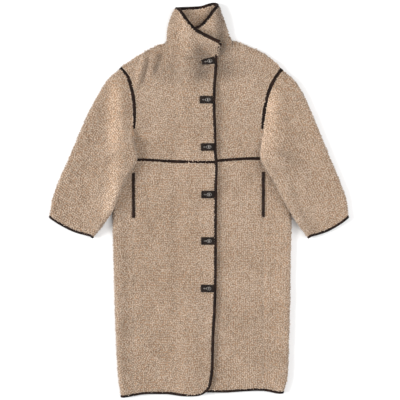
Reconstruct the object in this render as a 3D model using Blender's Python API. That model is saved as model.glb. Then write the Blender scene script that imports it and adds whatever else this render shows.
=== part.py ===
"""A long faux fur coat laid out flat on its back, fastened, with dark leather bindings.

The coat lies on the plane z = 0 with its collar towards +Y. Right and left are the wearer's, so the
right front, which laps over the left one, is on the -X side. Sizes are in millimetres up to the place
where a mesh is made, and MM turns them to metres. The origin is the middle of the coat's footprint, on
the surface that it lies on. Every piece of cloth is a wall between an outer and an inner sheet of points.
"""

import math
from collections import namedtuple

import bmesh
import bpy
import numpy as np

MM = 0.001
RIGHT, LEFT = -1, 1
FOOTPRINT_MIDDLE = (0.0, -0.3)

# Driving dimensions
CLOTH = 10.0  # fleece with its pile
COLLAR_CLOTH = 12.0  # two fleeces back to back, pressed by their own weight
COLLAR_SEAM_CLOTH = 8.0  # and where they are sewn to the neck
COLLAR_THICK_AT = 0.7  # the share of the collar's height where it reaches its full thickness
SEAM = 0.3
AIR = 0.5  # between cloths that lie on each other
OVERLAP_STEP = CLOTH + 0.6  # how much higher the right front is where it lies on the left one
OVERLAP_FROM, OVERLAP_FULL = -100.0, -64.0
UNDERLAP_EDGE = -45.0
NECK_CLEAR = 1.5  # between the front edge's binding and the collar
BINDING, HEM_BINDING, BINDING_DEPTH = 8.5, 7.0, 8.5
FOLD_TWIST = 1.2  # more room for the collar's binding where its edge twists round the right-hand fold
COLLAR_BINDING, COLLAR_BINDING_DEPTH, COLLAR_BINDING_GAP = 9.5, 10.0, 0.7
ARMHOLE_PIPING, WAIST_PIPING, PIPING_DEPTH, PIPING_SINK = 9.0, 6.5, 7.0, 1.0
WELT, WELT_DEPTH = 9.0, 8.0
TAB_LENGTH, TAB_WIDTH, TAB_THICKNESS, TAB_CORNER, TAB_CLEAR = 43.0, 25.0, 2.2, 3.5, 0.4
LOCK_LENGTH, LOCK_WIDTH, LOCK_RIM, LOCK_DEPTH = 17.0, 13.0, 2.6, 1.6
RIVET_LENGTH, RIVET_WIDTH, RIVET_DEPTH = 7.5, 5.0, 1.8
PUFF, PUFF_REACH = 4.0, 45.0  # how much a folded edge swells, and over what width
EDGE_ROUND, SHOULDER_LIP = 12.0, 4.0
SHOULDER_SLOPE = 0.86  # the cosine of the shoulder's slope
NECK_REACH = 100.0  # the shoulders' rounding starts this far from the middle
SLEEVE_LIFT = 27.0  # a sleeve's underside above the floor where it lies on the body
SLEEVE_RISE_FROM = 240.0  # the height on the coat where it starts to rise
SLEEVE_RAMP_FROM, SLEEVE_RAMP_BELOW, SLEEVE_RAMP_ABOVE = 8.0, 50.0, 90.0
SQUARE_BY = 0.2  # the share of a sleeve's length by which its rings meet its inner fold at right angles
LEAST_LIFT = 0.25  # cloth that would be raised by less stays flat, so that no faces are almost level with others

BACK_MID = CLOTH / 2
FRONT_MID = CLOTH * 1.5 + AIR
LOOP = (FRONT_MID + PUFF - BACK_MID) / 2  # radius of the middle of the wall round a folded edge
LOOP_START = CLOTH / 2 + LOOP
SIDE_SEAM = {RIGHT: -214.5, LEFT: 211.0}
UNDERARM_Y, HEM_Y = 118.0, -640.0
HEM_SHAPE_FROM = -450.0  # the hem's own shape shows in the rows below this height

# Outlines of the body: the x of an edge at heights up the coat
At = namedtuple("At", "y x")
SIDE_EDGE = {
    RIGHT: [At(-650, -255), At(-625, -260), At(-597, -264), At(-562, -267), At(-496, -271), At(-397, -275),
            At(-298, -278), At(-166, -281), At(-44, -284), At(30, -281), At(85, -271), At(118, -257), At(167, -206)],
    LEFT: [At(-650, 275), At(-632, 281), At(-612, 287), At(-592, 291), At(-562, 293), At(-496, 295),
           At(-397, 298), At(-298, 300), At(-166, 302), At(-44, 304), At(30, 301), At(85, 286), At(118, 265),
           At(160, 202)],
}
FRONT_EDGE = [At(-606, 36), At(-582, 40), At(-555, 43), At(-502, 44.5), At(-423, 47.5), At(-344, 52), At(-238, 54),
              At(-27, 54.5), At(52, 55.5), At(105, 57), At(158, 54), At(237, 52), At(316, 50), At(369, 51),
              At(422, 55), At(480, 57)]

# Other outlines are places on the plan
Place = namedtuple("Place", "x y")
SHOULDER = {
    RIGHT: [Place(-232, 451), Place(-208, 467), Place(-183, 482), Place(-158, 495), Place(-133, 506), Place(-111, 513)],
    LEFT: [Place(238, 461), Place(212, 479), Place(185, 493), Place(152, 507), Place(134, 514), Place(118, 519)],
}
ARMHOLE = {
    RIGHT: [Place(-257, 432), Place(-243, 416), Place(-232, 400), Place(-225, 380), Place(-219, 357), Place(-214, 325),
            Place(-211, 285), Place(-212, 255), Place(-214, 232)],
    LEFT: [Place(271, 428), Place(251, 399), Place(235, 370), Place(226, 345), Place(219, 315), Place(213, 282),
           Place(210, 250), Place(209, 232)],
}
# The body's edge below the armhole's piping, where the sleeve's fold hides it
ARMHOLE_FOOT = {
    RIGHT: [Place(-215.5, 222), Place(-208.5, 198), Place(-202.5, 166)],
    LEFT: [Place(209.5, 222), Place(202.5, 198), Place(196.5, 162)],
}
WAIST = {
    RIGHT: [At(131, -222), At(131.5, -199), At(128.5, -133), At(125, -70), At(123.5, -7), At(122.5, 60)],
    LEFT: [At(125.5, UNDERLAP_EDGE), At(126.2, 0), At(128, 60), At(132.5, 120), At(135, 167), At(134.5, 222)],
}
# Cloth edges at the hem. The binding is outside them
RIGHT_HEM = [Place(-214.35, -636), Place(-194, -632), Place(-173, -630), Place(-127, -629.7), Place(-101, -630),
             Place(-73, -633.4), Place(-43, -635), Place(-16, -635), Place(0, -633), Place(12, -628),
             Place(21, -620.5), Place(28, -610.5), Place(31.4, -601)]
LEFT_HEM = [Place(210.85, -619.3), Place(193, -618.5), Place(168, -619.5), Place(142, -620.7), Place(115, -622.7),
            Place(92, -624.5), Place(63, -624.5), Place(23, -623.7), Place(UNDERLAP_EDGE, -623.5)]
BACK_HEM = [At(-641.5, -265), At(-639.5, -238), At(-636, -215), At(-629, -180), At(-627, -100), At(-626, 0),
            At(-621, 40), At(-621, 100), At(-618, 145), At(-617, 190), At(-619.3, 211), At(-622.5, 233),
            At(-626.5, 253), At(-627.5, 295)]
# Where the necks of the panels go round the collar's two folds
NECK_CORNER = {
    "front_right": [Place(-111, 513), Place(-110, 500), Place(-104, 488)],
    "front_left": [Place(118, 519), Place(117, 507), Place(110, 495)],
    "back_right": [Place(-111, 513), Place(-109, 502), Place(-99, 496)],
    "back_left": [Place(105, 499), Place(116, 506), Place(118, 519)],
}

# The largest folds: a line on the coat, how high the cloth rises or sinks there, and how far to each side
Fold = namedtuple("Fold", "x0 y0 x1 y1 rise reach")
RIGHT_FRONT_FOLDS = [
    Fold(-86, -120, -58, -760, 5.0, 42),
    Fold(-172, 505, -216, 350, 7.0, 18),
    Fold(-154, 505, -202, 345, -3.5, 18),
    Fold(-138, 515, -168, 400, 5.0, 18),
    Fold(-112, 505, -160, 385, -3.5, 20),
    Fold(-72, 520, -14, 325, 7.0, 30),
    Fold(-96, 490, -60, 370, -3.0, 22),
]
LEFT_FRONT_FOLDS = [Fold(150, 520, 196, 330, 3.0, 30)]
SLEEVE_FOLDS = {
    RIGHT: [Fold(-262, 400, -228, 150, 5.0, 34), Fold(-240, 200, -330, -110, 5.0, 34),
            Fold(-330, 340, -410, 10, -2.5, 40)],
    LEFT: [Fold(262, 400, 230, 160, 4.0, 32), Fold(236, 180, 335, -120, 5.0, 32), Fold(330, 330, 420, 0, 3.0, 45)],
}

# Sleeves: the outer fold from the shoulder, and the inner fold from the armhole, to the cuff
SLEEVE_OUTER = {
    RIGHT: [Place(-297, 397), Place(-333, 344), Place(-356, 300), Place(-389, 228.5), Place(-421.5, 150),
            Place(-459, 65), Place(-483, -5), Place(-493, -58)],
    LEFT: [Place(311, 395), Place(346, 340), Place(366, 294), Place(394, 228), Place(426, 148),
           Place(461, 65), Place(484, 0), Place(493, -58)],
}
SLEEVE_INNER = {
    RIGHT: [Place(-219.6, 214), Place(-213, 196), Place(-206, 165), Place(-200, 132), Place(-213, 104), Place(-231, 75),
            Place(-263, 5), Place(-284, -44), Place(-311, -82), Place(-347, -128)],
    LEFT: [Place(213.5, 218), Place(206, 196), Place(200, 163), Place(200, 132), Place(211, 108), Place(228, 84),
           Place(259, 28), Place(299, -46), Place(323, -82), Place(357, -128)],
}
CUFF_BOW = {RIGHT: 8.0, LEFT: 9.0}

# The middle of the collar's wall, round its band from the end that laps over to the one below it: where it is sewn to
# the neck, halfway up, and at its bound rim
Station = namedtuple("Station", "neck_x neck_y neck_z mid_x mid_y mid_z rim_x rim_y rim_z")
COLLAR = [
    Station(52, 475, 26.1, 61, 492, 43, 65, 508, 53),
    Station(22, 472, 26.1, 31, 500, 43, 33, 523, 53),
    Station(-22, 468, 26.1, -20, 512, 43, -16, 550, 53),
    Station(-62, 468, 26.1, -60, 530, 42, -46, 584, 52),
    Station(-92, 480, 17.0, -92, 552, 32, -66, 613, 43),
    Station(-101, 500, 10.0, -98, 560, 18, -77, 618, 25),
    Station(-88, 501, 5.0, -86, 562, 7, -66, 621, 7),
    Station(-45, 493, 5.0, -42, 563, 7, -34, 623, 7),
    Station(5, 490, 5.0, 6, 565, 7, 8, 626, 7),
    Station(58, 495, 5.0, 52, 570, 7, 30, 633, 7),
    Station(94, 504, 5.0, 72, 572, 7, 49, 637, 7),
    Station(107, 508, 10.0, 84, 572, 15, 62, 629, 21),
    Station(98, 490, 15.5, 78, 560, 27, 52, 615, 36),
    Station(72, 479, 15.5, 54, 528, 28, 30, 584, 37),
    Station(34, 475, 15.5, 22, 512, 28, 9, 563, 37),
    Station(-12, 473, 15.5, -16, 506, 28, -18, 550, 37),
]
OVER_STATIONS, BACK_STATIONS, UNDER_STATIONS = (0, 4), (6, 10), (12, 15)

# Fastening tabs up the right front: the middle's height, the width at the free end, and the tilt in degrees
Tab = namedtuple("Tab", "y free_width tilt")
TABS = [Tab(456, 17, 10), Tab(326.5, TAB_WIDTH, 0), Tab(172.5, TAB_WIDTH, 1), Tab(17, TAB_WIDTH, 0),
        Tab(-134.5, TAB_WIDTH, 0), Tab(-290, TAB_WIDTH, -1)]
LOCK_FROM_EDGE, RIVET_FROM_EDGE = 17.0, 31.0
# Pocket welts in the side seams: the heights of their ends
Welt = namedtuple("Welt", "top bottom")
WELTS = {RIGHT: Welt(87, -59), LEFT: Welt(91, -56)}

# How finely the walls are divided
ARMHOLE_SHARES = np.r_[0.0, np.linspace(0.06, 0.94, 8), 1.0]
ARMHOLE_PART = 0.7  # the armhole's share of an upper panel's outer edge
FOOT_KNOTS = [0.74, 0.8, 0.88]
SLEEVE_RINGS = np.r_[0.0, 0.05, 0.11, 0.17, 0.23, 0.29, 0.35, np.linspace(0.42, 1.0, 9)]
SLEEVE_ACROSS = 8
LOOP_STEPS = 5
WELT_STEP = 0.9
NUDGE = 0.01  # a small share, to find directions
FAN, FAN_REACH = 200.0, 0.25  # how much a panel's columns lean out below a corner of its neck, over a share of its width


def ease(share):
    """Zero at 0 and below, one at 1 and above, and smooth between."""
    share = np.clip(share, 0.0, 1.0)
    return share * share * (3.0 - 2.0 * share)


def hermite(knots, values, at):
    """A smooth curve through values at rising knots. Values may have several columns."""
    knots, at = np.asarray(knots, float), np.asarray(at, float)
    values = np.asarray(values, float).reshape(len(knots), -1)
    slopes = np.gradient(values, knots, axis=0)
    i = np.clip(np.searchsorted(knots, at, side="right") - 1, 0, len(knots) - 2)
    step = (knots[i + 1] - knots[i])[..., None]
    s = np.clip((at - knots[i])[..., None] / step, 0.0, 1.0)
    bend = (s**3 - 2 * s**2 + s) * step * slopes[i] + (s**3 - s**2) * step * slopes[i + 1]
    return (2 * s**3 - 3 * s**2 + 1) * values[i] + (3 * s**2 - 2 * s**3) * values[i + 1] + bend


def edge_x(table, y):
    rows = sorted(table)
    return hermite([r.y for r in rows], [r.x for r in rows], y)[..., 0]


def edge_y(table, x):
    return hermite([r.x for r in table], [r.y for r in table], x)[..., 0]


def lengths(places):
    """Each place's share of the way along a line."""
    steps = np.linalg.norm(np.diff(np.asarray(places, float), axis=0), axis=1)
    return np.r_[0.0, np.cumsum(steps)] / steps.sum()


def line(places, knots=None, corners=()):
    """A function of a share from 0 to 1 that runs through places, smoothly but for the numbered corners."""
    places = np.asarray(places, float)
    knots = lengths(places) if knots is None else np.asarray(knots, float)
    stops = [0, *corners, len(places) - 1]

    def at(share):
        share = np.asarray(share, float)
        found = np.zeros(share.shape + (places.shape[1],))
        for first, last in zip(stops, stops[1:]):
            run = hermite(knots[first:last + 1], places[first:last + 1], share)
            found = np.where((share >= knots[first] - 1e-9)[..., None], run, found)
        return found

    return at


def patch(top, bottom, outer, inner, s, q):
    """Plan places between four edges: s runs from the outer edge to the inner, and q from the top to the bottom."""
    s, q = np.broadcast_arrays(np.asarray(s, float), np.asarray(q, float))
    sc, qc = s[..., None], q[..., None]
    corners = ((1 - sc) * (1 - qc) * top(0.0) + sc * (1 - qc) * top(1.0)
               + (1 - sc) * qc * bottom(0.0) + sc * qc * bottom(1.0))
    return (1 - qc) * top(s) + qc * bottom(s) + (1 - sc) * outer(q) + sc * inner(q) - corners


def fanned(plan, shares, rows, corner, side):
    """A panel's plan with the columns below a corner of its neck leaning away from the neck, so that none cross."""
    near = np.clip(1.0 - ((shares - corner) / FAN_REACH) ** 2, 0.0, 1.0) ** 2
    plan[..., 0] += side * FAN * near[None, :] * (rows * (1.0 - rows) ** 3)[:, None]
    return plan


def fold_lift(folds, x, y):
    """How far a table's folds raise the cloth at a place."""
    lift = np.zeros(np.broadcast(x, y).shape)
    for f in folds:
        run_x, run_y = f.x1 - f.x0, f.y1 - f.y0
        span = math.hypot(run_x, run_y)
        along = ((x - f.x0) * run_x + (y - f.y0) * run_y) / span**2
        across = np.abs((x - f.x0) * run_y - (y - f.y0) * run_x) / span
        fade = ease(along / 0.3) * ease((1.0 - along) / 0.3)
        lift = lift + f.rise * fade * np.clip(1.0 - (across / f.reach) ** 2, 0.0, 1.0) ** 2
    return flattened(lift)


def flattened(lift):
    return np.where(np.abs(lift) < LEAST_LIFT, 0.0, lift)


def overlap_rise(x):
    return OVERLAP_STEP * ease((x - OVERLAP_FROM) / (OVERLAP_FULL - OVERLAP_FROM))


def front_mid(side, x):
    """Height of the middle of a smooth front's wall."""
    return FRONT_MID + (overlap_rise(x) if side == RIGHT else 0.0) + 0.0 * x


def shoulder_inside(side, x, y):
    """How far a place is inside the shoulder's edge, as a share of the rounding there."""
    places = SHOULDER[side]
    along = hermite([side * p.x for p in reversed(places)], [p.y for p in reversed(places)], side * x)[..., 0]
    near = ease((side * x - NECK_REACH) / 8.0)
    return np.clip((along - y) * SHOULDER_SLOPE / EDGE_ROUND + (1.0 - near) * 2.0, 0.0, 1.0)


def material(name, colour, roughness, metallic=0.0):
    made = bpy.data.materials.new(name)
    made.use_nodes = True
    shader = made.node_tree.nodes["Principled BSDF"]
    shader.inputs["Base Color"].default_value = (*colour, 1.0)
    shader.inputs["Roughness"].default_value = roughness
    shader.inputs["Metallic"].default_value = metallic
    return made


def add_object(name, points, faces, finish):
    """Makes a mesh object from points in millimetres, rounded in shading but sharp at its corners."""
    mesh = bpy.data.meshes.new(name)
    placed = (np.asarray(points, float) - [*FOOTPRINT_MIDDLE, 0.0]) * MM
    mesh.from_pydata([tuple(p) for p in placed], [], [tuple(int(i) for i in face) for face in faces])
    tidy = bmesh.new()
    tidy.from_mesh(mesh)
    bmesh.ops.recalc_face_normals(tidy, faces=tidy.faces)
    if tidy.calc_volume(signed=True) < 0:
        bmesh.ops.reverse_faces(tidy, faces=tidy.faces)
    tidy.to_mesh(mesh)
    tidy.free()
    mesh.shade_smooth()
    mesh.set_sharp_from_angle(angle=math.radians(50))
    mesh.materials.append(finish)
    made = bpy.data.objects.new(name, mesh)
    bpy.context.scene.collection.objects.link(made)
    return made


def grid(index, closed=False):
    """Quads of a grid of point numbers. A closed grid joins its last column to its first."""
    if closed:
        index = np.concatenate([index, index[:, :1]], axis=1)
    return np.stack([index[:-1, :-1], index[:-1, 1:], index[1:, 1:], index[1:, :-1]], axis=-1).reshape(-1, 4)


def numbered(points, first=0):
    rows, columns = points.shape[:2]
    return first + np.arange(rows * columns).reshape(rows, columns)


def add_wall(name, outer, inner, faces, finish):
    """A closed wall between two sheets of the same points and faces, with a rim along the sheet's open edges."""
    outer, inner = np.reshape(outer, (-1, 3)), np.reshape(inner, (-1, 3))
    count = len(outer)
    edges = {(a, b) for face in faces for a, b in zip(face, np.roll(face, -1))}
    rim = [(b, a, a + count, b + count) for a, b in edges if (b, a) not in edges]
    both = [tuple(f) for f in faces] + [tuple(reversed(f + count)) for f in faces]
    return add_object(name, np.concatenate([outer, inner]), both + sorted(rim), finish)


def add_ribbon(name, path, outward, upward, width, depth, finish, gap=SEAM, closed=False):
    """A strip beside a path: gap and width are measured outward from it, and its upper corners are rounded."""
    path = np.asarray(path, float)
    width = np.broadcast_to(np.asarray(width, float), len(path))
    gap = np.broadcast_to(np.asarray(gap, float), len(path))
    cut, half = 0.28 * depth, depth / 2
    outline = [(0, -half, 0), (0, half - cut, 0), (0, half, cut), (1, half, -cut), (1, half - cut, 0), (1, -half, 0)]
    rings = [[p + o * (g + share * w + shift) + u * up for share, up, shift in outline]
             for p, o, u, w, g in zip(path, outward, upward, width, gap)]
    points = np.array(rings)
    index = numbered(points)
    if closed:
        index = np.concatenate([index, index[:1]])
        ends = []
    else:
        ends = [tuple(index[0]), tuple(index[-1])]
    faces = [tuple(f) for f in grid(index, closed=True)] + ends
    return add_object(name, points.reshape(-1, 3), faces, finish)


def plan_outward(path, side=1):
    """Level unit vectors to the left of a path, or to its right where side is -1."""
    ahead = np.gradient(np.asarray(path)[:, :2], axis=0)
    ahead /= np.linalg.norm(ahead, axis=1, keepdims=True)
    return side * np.stack([-ahead[:, 1], ahead[:, 0], np.zeros(len(ahead))], axis=1)


def upright(path):
    return np.tile([0.0, 0.0, 1.0], (len(path), 1))


def with_height(plan, height):
    return np.concatenate([plan, np.broadcast_to(height, plan.shape[:-1])[..., None]], axis=-1)


def armhole(side, share, offset=0.0):
    """Places on the armhole seam from the shoulder down, moved towards the sleeve by an offset."""
    seam = line(ARMHOLE[side])
    share = np.asarray(share, float)
    ahead = seam(np.clip(share + NUDGE, 0, 1)) - seam(np.clip(share - NUDGE, 0, 1))
    ahead /= np.linalg.norm(ahead, axis=-1, keepdims=True)
    outward = np.stack([ahead[..., 1], -ahead[..., 0]], axis=-1) * (-side)
    return seam(share) + offset * outward


def outer_edge(side, offset, last):
    """The outer edge of an upper panel: the armhole, the foot below it, and a last place."""
    places = np.concatenate([armhole(side, ARMHOLE_SHARES, offset), ARMHOLE_FOOT[side], [last]])
    return line(places, upper_rows())


def upper_rows():
    return np.r_[ARMHOLE_SHARES * ARMHOLE_PART, FOOT_KNOTS, 1.0]


def collar_mid(share, level):
    """A place in the middle of the collar's wall. Share counts stations, and level is 0 at the neck and 1 at the rim."""
    share, level = np.broadcast_arrays(np.asarray(share, float), np.asarray(level, float))
    found = hermite(np.arange(len(COLLAR)), np.array(COLLAR), share).reshape(share.shape + (3, 3))
    v = level[..., None]
    return ((1 - v) * (1 - 2 * v) * found[..., 0, :] + 4 * v * (1 - v) * found[..., 1, :]
            + v * (2 * v - 1) * found[..., 2, :])


def neck_places(stations):
    """The neck seam's places between two of the collar's stations, a seam's width outside it."""
    share = np.arange(stations[0], stations[1] + 0.25, 0.5)
    neck, above = collar_mid(share, 0.0)[:, :2], collar_mid(share, 0.1)[:, :2]
    down = neck - above
    return neck + SEAM * down / np.linalg.norm(down, axis=1, keepdims=True)


def upper_front_plan(side):
    """The four edges of an upper front, and the shares of its top edge's places."""
    stations = OVER_STATIONS if side == RIGHT else UNDER_STATIONS
    neck = neck_places(stations)
    if side == RIGHT:
        neck = neck[::-1]
        neck[-1, 0] = edge_x(FRONT_EDGE, neck[-1, 1]) - BINDING / 2 - SEAM
    else:
        neck = np.concatenate([neck, [(UNDERLAP_EDGE, neck[-1, 1])]])
    around = NECK_CORNER["front_right" if side == RIGHT else "front_left"]
    start = armhole(side, 0.0, -ARMHOLE_PIPING / 2 - SEAM)
    places = np.concatenate([[start], SHOULDER[side][:-1], around, neck])
    corner = 1 + len(SHOULDER[side]) - 1
    top = line(places, corners=(corner,))
    gap = WAIST_PIPING / 2 + SEAM
    foot_x = SIDE_SEAM[side] - side * 1.5
    foot = (foot_x, edge_y(WAIST[side], foot_x) + gap)
    outer = outer_edge(side, -ARMHOLE_PIPING / 2 - SEAM, foot)
    inner_end = edge_x(FRONT_EDGE, 125.0) - BINDING / 2 - SEAM if side == RIGHT else UNDERLAP_EDGE
    shares = lengths(places)

    def bottom(share):
        x = foot_x + (inner_end - foot_x) * np.asarray(share, float)
        return np.stack([x, edge_y(WAIST[side], x) + gap], axis=-1)

    def inner(share):
        y = neck[-1, 1] + (bottom(1.0)[1] - neck[-1, 1]) * np.asarray(share, float)
        x = edge_x(FRONT_EDGE, y) - BINDING / 2 - SEAM if side == RIGHT else UNDERLAP_EDGE + 0.0 * y
        return np.stack([x, y], axis=-1)

    return (top, bottom, outer, inner), shares, shares[corner + 1]


def side_seam(side, y, inward):
    """The x of a side seam's edge, on the front's side or else the back's, let out for the pocket welt."""
    welt = WELTS[side]
    in_welt = (y < welt.top + SEAM) & (y > welt.bottom - SEAM)
    apart = np.where(in_welt, WELT / 2 + SEAM, SEAM / 2)
    return SIDE_SEAM[side] - side * apart * (1 if inward else -1)


def side_heights(side, top, bottom):
    """Heights of rows down the side seam, with a pair at each end of the pocket welt."""
    welt = WELTS[side]
    return np.array([top, welt.top + SEAM + WELT_STEP, welt.top + SEAM - 0.05, welt.bottom - SEAM + 0.05,
                     welt.bottom - SEAM - WELT_STEP, -190.0, -330.0, -460.0, -560.0, bottom])


def lower_front_plan(side):
    gap = WAIST_PIPING / 2 + SEAM
    hem = RIGHT_HEM if side == RIGHT else LEFT_HEM
    seam_x = hem[0].x
    top_y = edge_y(WAIST[side], seam_x) - gap
    heights = side_heights(side, float(top_y), hem[0].y)
    rows = (top_y - heights) / (top_y - hem[0].y)
    outer = line([(side_seam(side, y, True), y) for y in heights], rows, corners=tuple(range(1, len(rows) - 1)))
    bottom = line(hem)
    inner_top = edge_x(FRONT_EDGE, 122.0) - BINDING / 2 - SEAM if side == RIGHT else UNDERLAP_EDGE

    def top(share):
        x = seam_x + (inner_top - seam_x) * np.asarray(share, float)
        return np.stack([x, edge_y(WAIST[side], x) - gap], axis=-1)

    def inner(share):
        y = top(1.0)[1] + (hem[-1].y - top(1.0)[1]) * np.asarray(share, float)
        x = edge_x(FRONT_EDGE, y) - BINDING / 2 - SEAM if side == RIGHT else UNDERLAP_EDGE + 0.0 * y
        return np.stack([x, y], axis=-1)

    return (top, bottom, outer, inner), lengths(hem), rows


def front_heights(side, plan):
    """Heights of a front's outer and inner sheets."""
    x, y = plan[..., 0], plan[..., 1]
    lift = fold_lift(RIGHT_FRONT_FOLDS if side == RIGHT else LEFT_FRONT_FOLDS, x, y)
    middle = front_mid(side, x)
    top = middle + CLOTH / 2 + lift
    bottom = middle - CLOTH / 2 + np.maximum(lift, 0.0)
    inside = shoulder_inside(side, x, y)
    arc = np.sqrt(1.0 - (1.0 - inside) ** 2)
    low = CLOTH + SEAM
    bottom = low + (bottom - low) * inside
    top = low + SHOULDER_LIP + (top - low - SHOULDER_LIP) * arc
    return top, bottom


def front_binding_height(side, plan):
    """The middle of a front's wall, with its folds."""
    top, bottom = front_heights(side, plan)
    return (top + bottom) / 2


def piping_height(side, plan):
    """The middle of a piping that lies a little below a front's top, and clear of the back."""
    top = front_heights(side, plan)[0] - PIPING_SINK
    return np.maximum(top, CLOTH + SEAM + PIPING_DEPTH) - PIPING_DEPTH / 2


def add_front(name, side, plan, finish):
    top, bottom = front_heights(side, plan)
    return add_wall(name, with_height(plan, top), with_height(plan, bottom), grid(numbered(plan)), finish)


def build_fronts(fleece):
    """Both fronts, each cut at the waist. Returns the plans, whose edges the bindings follow."""
    plans = {}
    for side, word in ((RIGHT, "right"), (LEFT, "left")):
        edges, shares, corner = upper_front_plan(side)
        plan = fanned(patch(*edges, shares[None, :], upper_rows()[:, None]), shares, upper_rows(), corner, side)
        plans["upper", side] = plan
        add_front("front_upper_" + word, side, plan, fleece)
        edges, shares, rows = lower_front_plan(side)
        plan = patch(*edges, shares[None, :], rows[:, None])
        plans["lower", side] = plan
        add_front("front_lower_" + word, side, plan, fleece)
    return plans


def back_section(side, y):
    """Half a section through the back below the underarm, from the side seam round the fold to the floor.

    Gives the middle of the wall and its outward direction.
    """
    edge = edge_x(SIDE_EDGE[side], y)
    seam = side_seam(side, y, False)
    start = edge - side * LOOP_START
    across = np.linspace(0.0, 1.0, 4)[:-1]
    wrap_x = seam + (start - seam) * across
    wrap_z = FRONT_MID + PUFF * (1.0 - ease((side * (start - wrap_x)) / PUFF_REACH))
    turn = np.linspace(math.pi / 2, -math.pi / 2, LOOP_STEPS + 1)
    loop_x = start + side * LOOP * np.cos(turn)
    loop_z = BACK_MID + LOOP + LOOP * np.sin(turn)
    x, z = np.r_[wrap_x, loop_x], np.r_[wrap_z, loop_z]
    out_x = np.r_[np.zeros(3), side * np.cos(turn)]
    out_z = np.r_[np.ones(3), np.sin(turn)]
    zero = np.zeros(len(x))
    return np.stack([x, zero + y, z], axis=1), np.stack([out_x, zero, out_z], axis=1)


def back_top():
    """The back's upper edge, from the right armhole over both shoulders and the neck."""
    neck = neck_places(BACK_STATIONS)
    offset = ARMHOLE_PIPING / 2
    right = [armhole(RIGHT, 0.0, offset), *SHOULDER[RIGHT][:-1], *NECK_CORNER["back_right"]]
    left = [*NECK_CORNER["back_left"], *SHOULDER[LEFT][-2::-1], armhole(LEFT, 0.0, offset)]
    places = np.concatenate([right, neck, left])
    corners = (len(SHOULDER[RIGHT]), len(places) - 1 - len(SHOULDER[LEFT]))
    shares = lengths(places)
    return line(places, corners=corners), shares, (shares[corners[0] + 1], shares[corners[1] - 1])


def back_rows():
    """The lower back row by row: the middle of the wall, the outward direction, and the number of columns a side."""
    shares = back_top()[1][1:-1]
    middle, outward = [], []
    for y_right, y_left in zip(side_heights(RIGHT, UNDERARM_Y, HEM_Y), side_heights(LEFT, UNDERARM_Y, HEM_Y)):
        right, right_out = back_section(RIGHT, y_right)
        left, left_out = back_section(LEFT, y_left)
        x = right[-1, 0] + (left[-1, 0] - right[-1, 0]) * shares
        flat = np.stack([x, y_right + (y_left - y_right) * shares, 0 * x + BACK_MID], axis=1)
        middle.append(np.concatenate([right, flat, left[::-1]]))
        outward.append(np.concatenate([right_out, np.tile([0.0, 0.0, -1.0], (len(x), 1)), left_out[::-1]]))
    middle, outward = np.array(middle), np.array(outward)
    near_hem = np.clip((HEM_SHAPE_FROM - middle[..., 1]) / (HEM_SHAPE_FROM - HEM_Y), 0.0, 1.0)
    middle[..., 1] += near_hem * (edge_y(BACK_HEM, middle[-1, :, 0]) - HEM_Y)
    return middle, outward, len(right) - 1


def build_back(fleece):
    middle, outward, side_columns = back_rows()
    top, shares, corners = back_top()
    flat = middle[0, side_columns:-side_columns]
    bottom = line(flat[:, :2], shares)
    outer = outer_edge(RIGHT, ARMHOLE_PIPING / 2, flat[0, :2])
    inner = outer_edge(LEFT, ARMHOLE_PIPING / 2, flat[-1, :2])
    rows = upper_rows()[:-1]
    plan = patch(top, bottom, outer, inner, shares[None, :], rows[:, None])
    for side, corner in zip((RIGHT, LEFT), corners):
        plan = fanned(plan, shares, rows, corner, side)
    upper = with_height(plan, BACK_MID)
    upper_index = numbered(upper)
    lower_index = numbered(middle, upper.shape[0] * upper.shape[1])
    joined = np.concatenate([upper_index, lower_index[:1, side_columns:-side_columns]])
    faces = np.concatenate([grid(joined), grid(lower_index)])
    points = np.concatenate([upper.reshape(-1, 3), middle.reshape(-1, 3)])
    down = np.tile([0.0, 0.0, -1.0], (len(plan.reshape(-1, 2)), 1))
    out = np.concatenate([down, outward.reshape(-1, 3)]) * CLOTH / 2
    add_wall("back", points + out, points - out, faces, fleece)
    return middle[-1], outward[-1]


def sleeve_lift(side, plan, ramp):
    """How far a sleeve is raised over the body, falling over a ramp outside the body's edge."""
    rows = sorted(SIDE_EDGE[side])
    x, y = plan[..., 0], plan[..., 1]
    outside = side * (x - edge_x(rows, np.clip(y, rows[0].y, rows[-1].y)))
    rise = ease((SLEEVE_RISE_FROM - y) / (SLEEVE_RISE_FROM - rows[-1].y))
    return flattened(SLEEVE_LIFT * rise * (1.0 - ease((outside - SLEEVE_RAMP_FROM) / ramp)))


def sleeve_edges(side):
    """The four edges of a laid out sleeve, and the direction that its cuff faces."""
    start = armhole(side, 0.0, ARMHOLE_PIPING / 2 + SEAM)
    end = armhole(side, 1.0, ARMHOLE_PIPING / 2 + SEAM)
    tip, heel = np.array(SLEEVE_OUTER[side][-1], float), np.array(SLEEVE_INNER[side][-1], float)
    along = (heel - tip) / np.linalg.norm(heel - tip)
    facing = np.array([along[1], -along[0]])
    facing *= -np.sign(facing[1])
    back_off = (HEM_BINDING + SEAM) * facing
    tip, heel = tip - back_off, heel - back_off

    def cuff(share):
        share = np.asarray(share, float)[..., None]
        return tip + (heel - tip) * share + CUFF_BOW[side] * 4 * share * (1 - share) * facing

    outer = line([start, *SLEEVE_OUTER[side][:-1], tip])
    inner = line([end, *SLEEVE_INNER[side][:-1], heel])
    return (lambda share: armhole(side, share, ARMHOLE_PIPING / 2 + SEAM), cuff, outer, inner), facing


def unit(vectors):
    return vectors / np.linalg.norm(vectors, axis=-1, keepdims=True)


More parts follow.
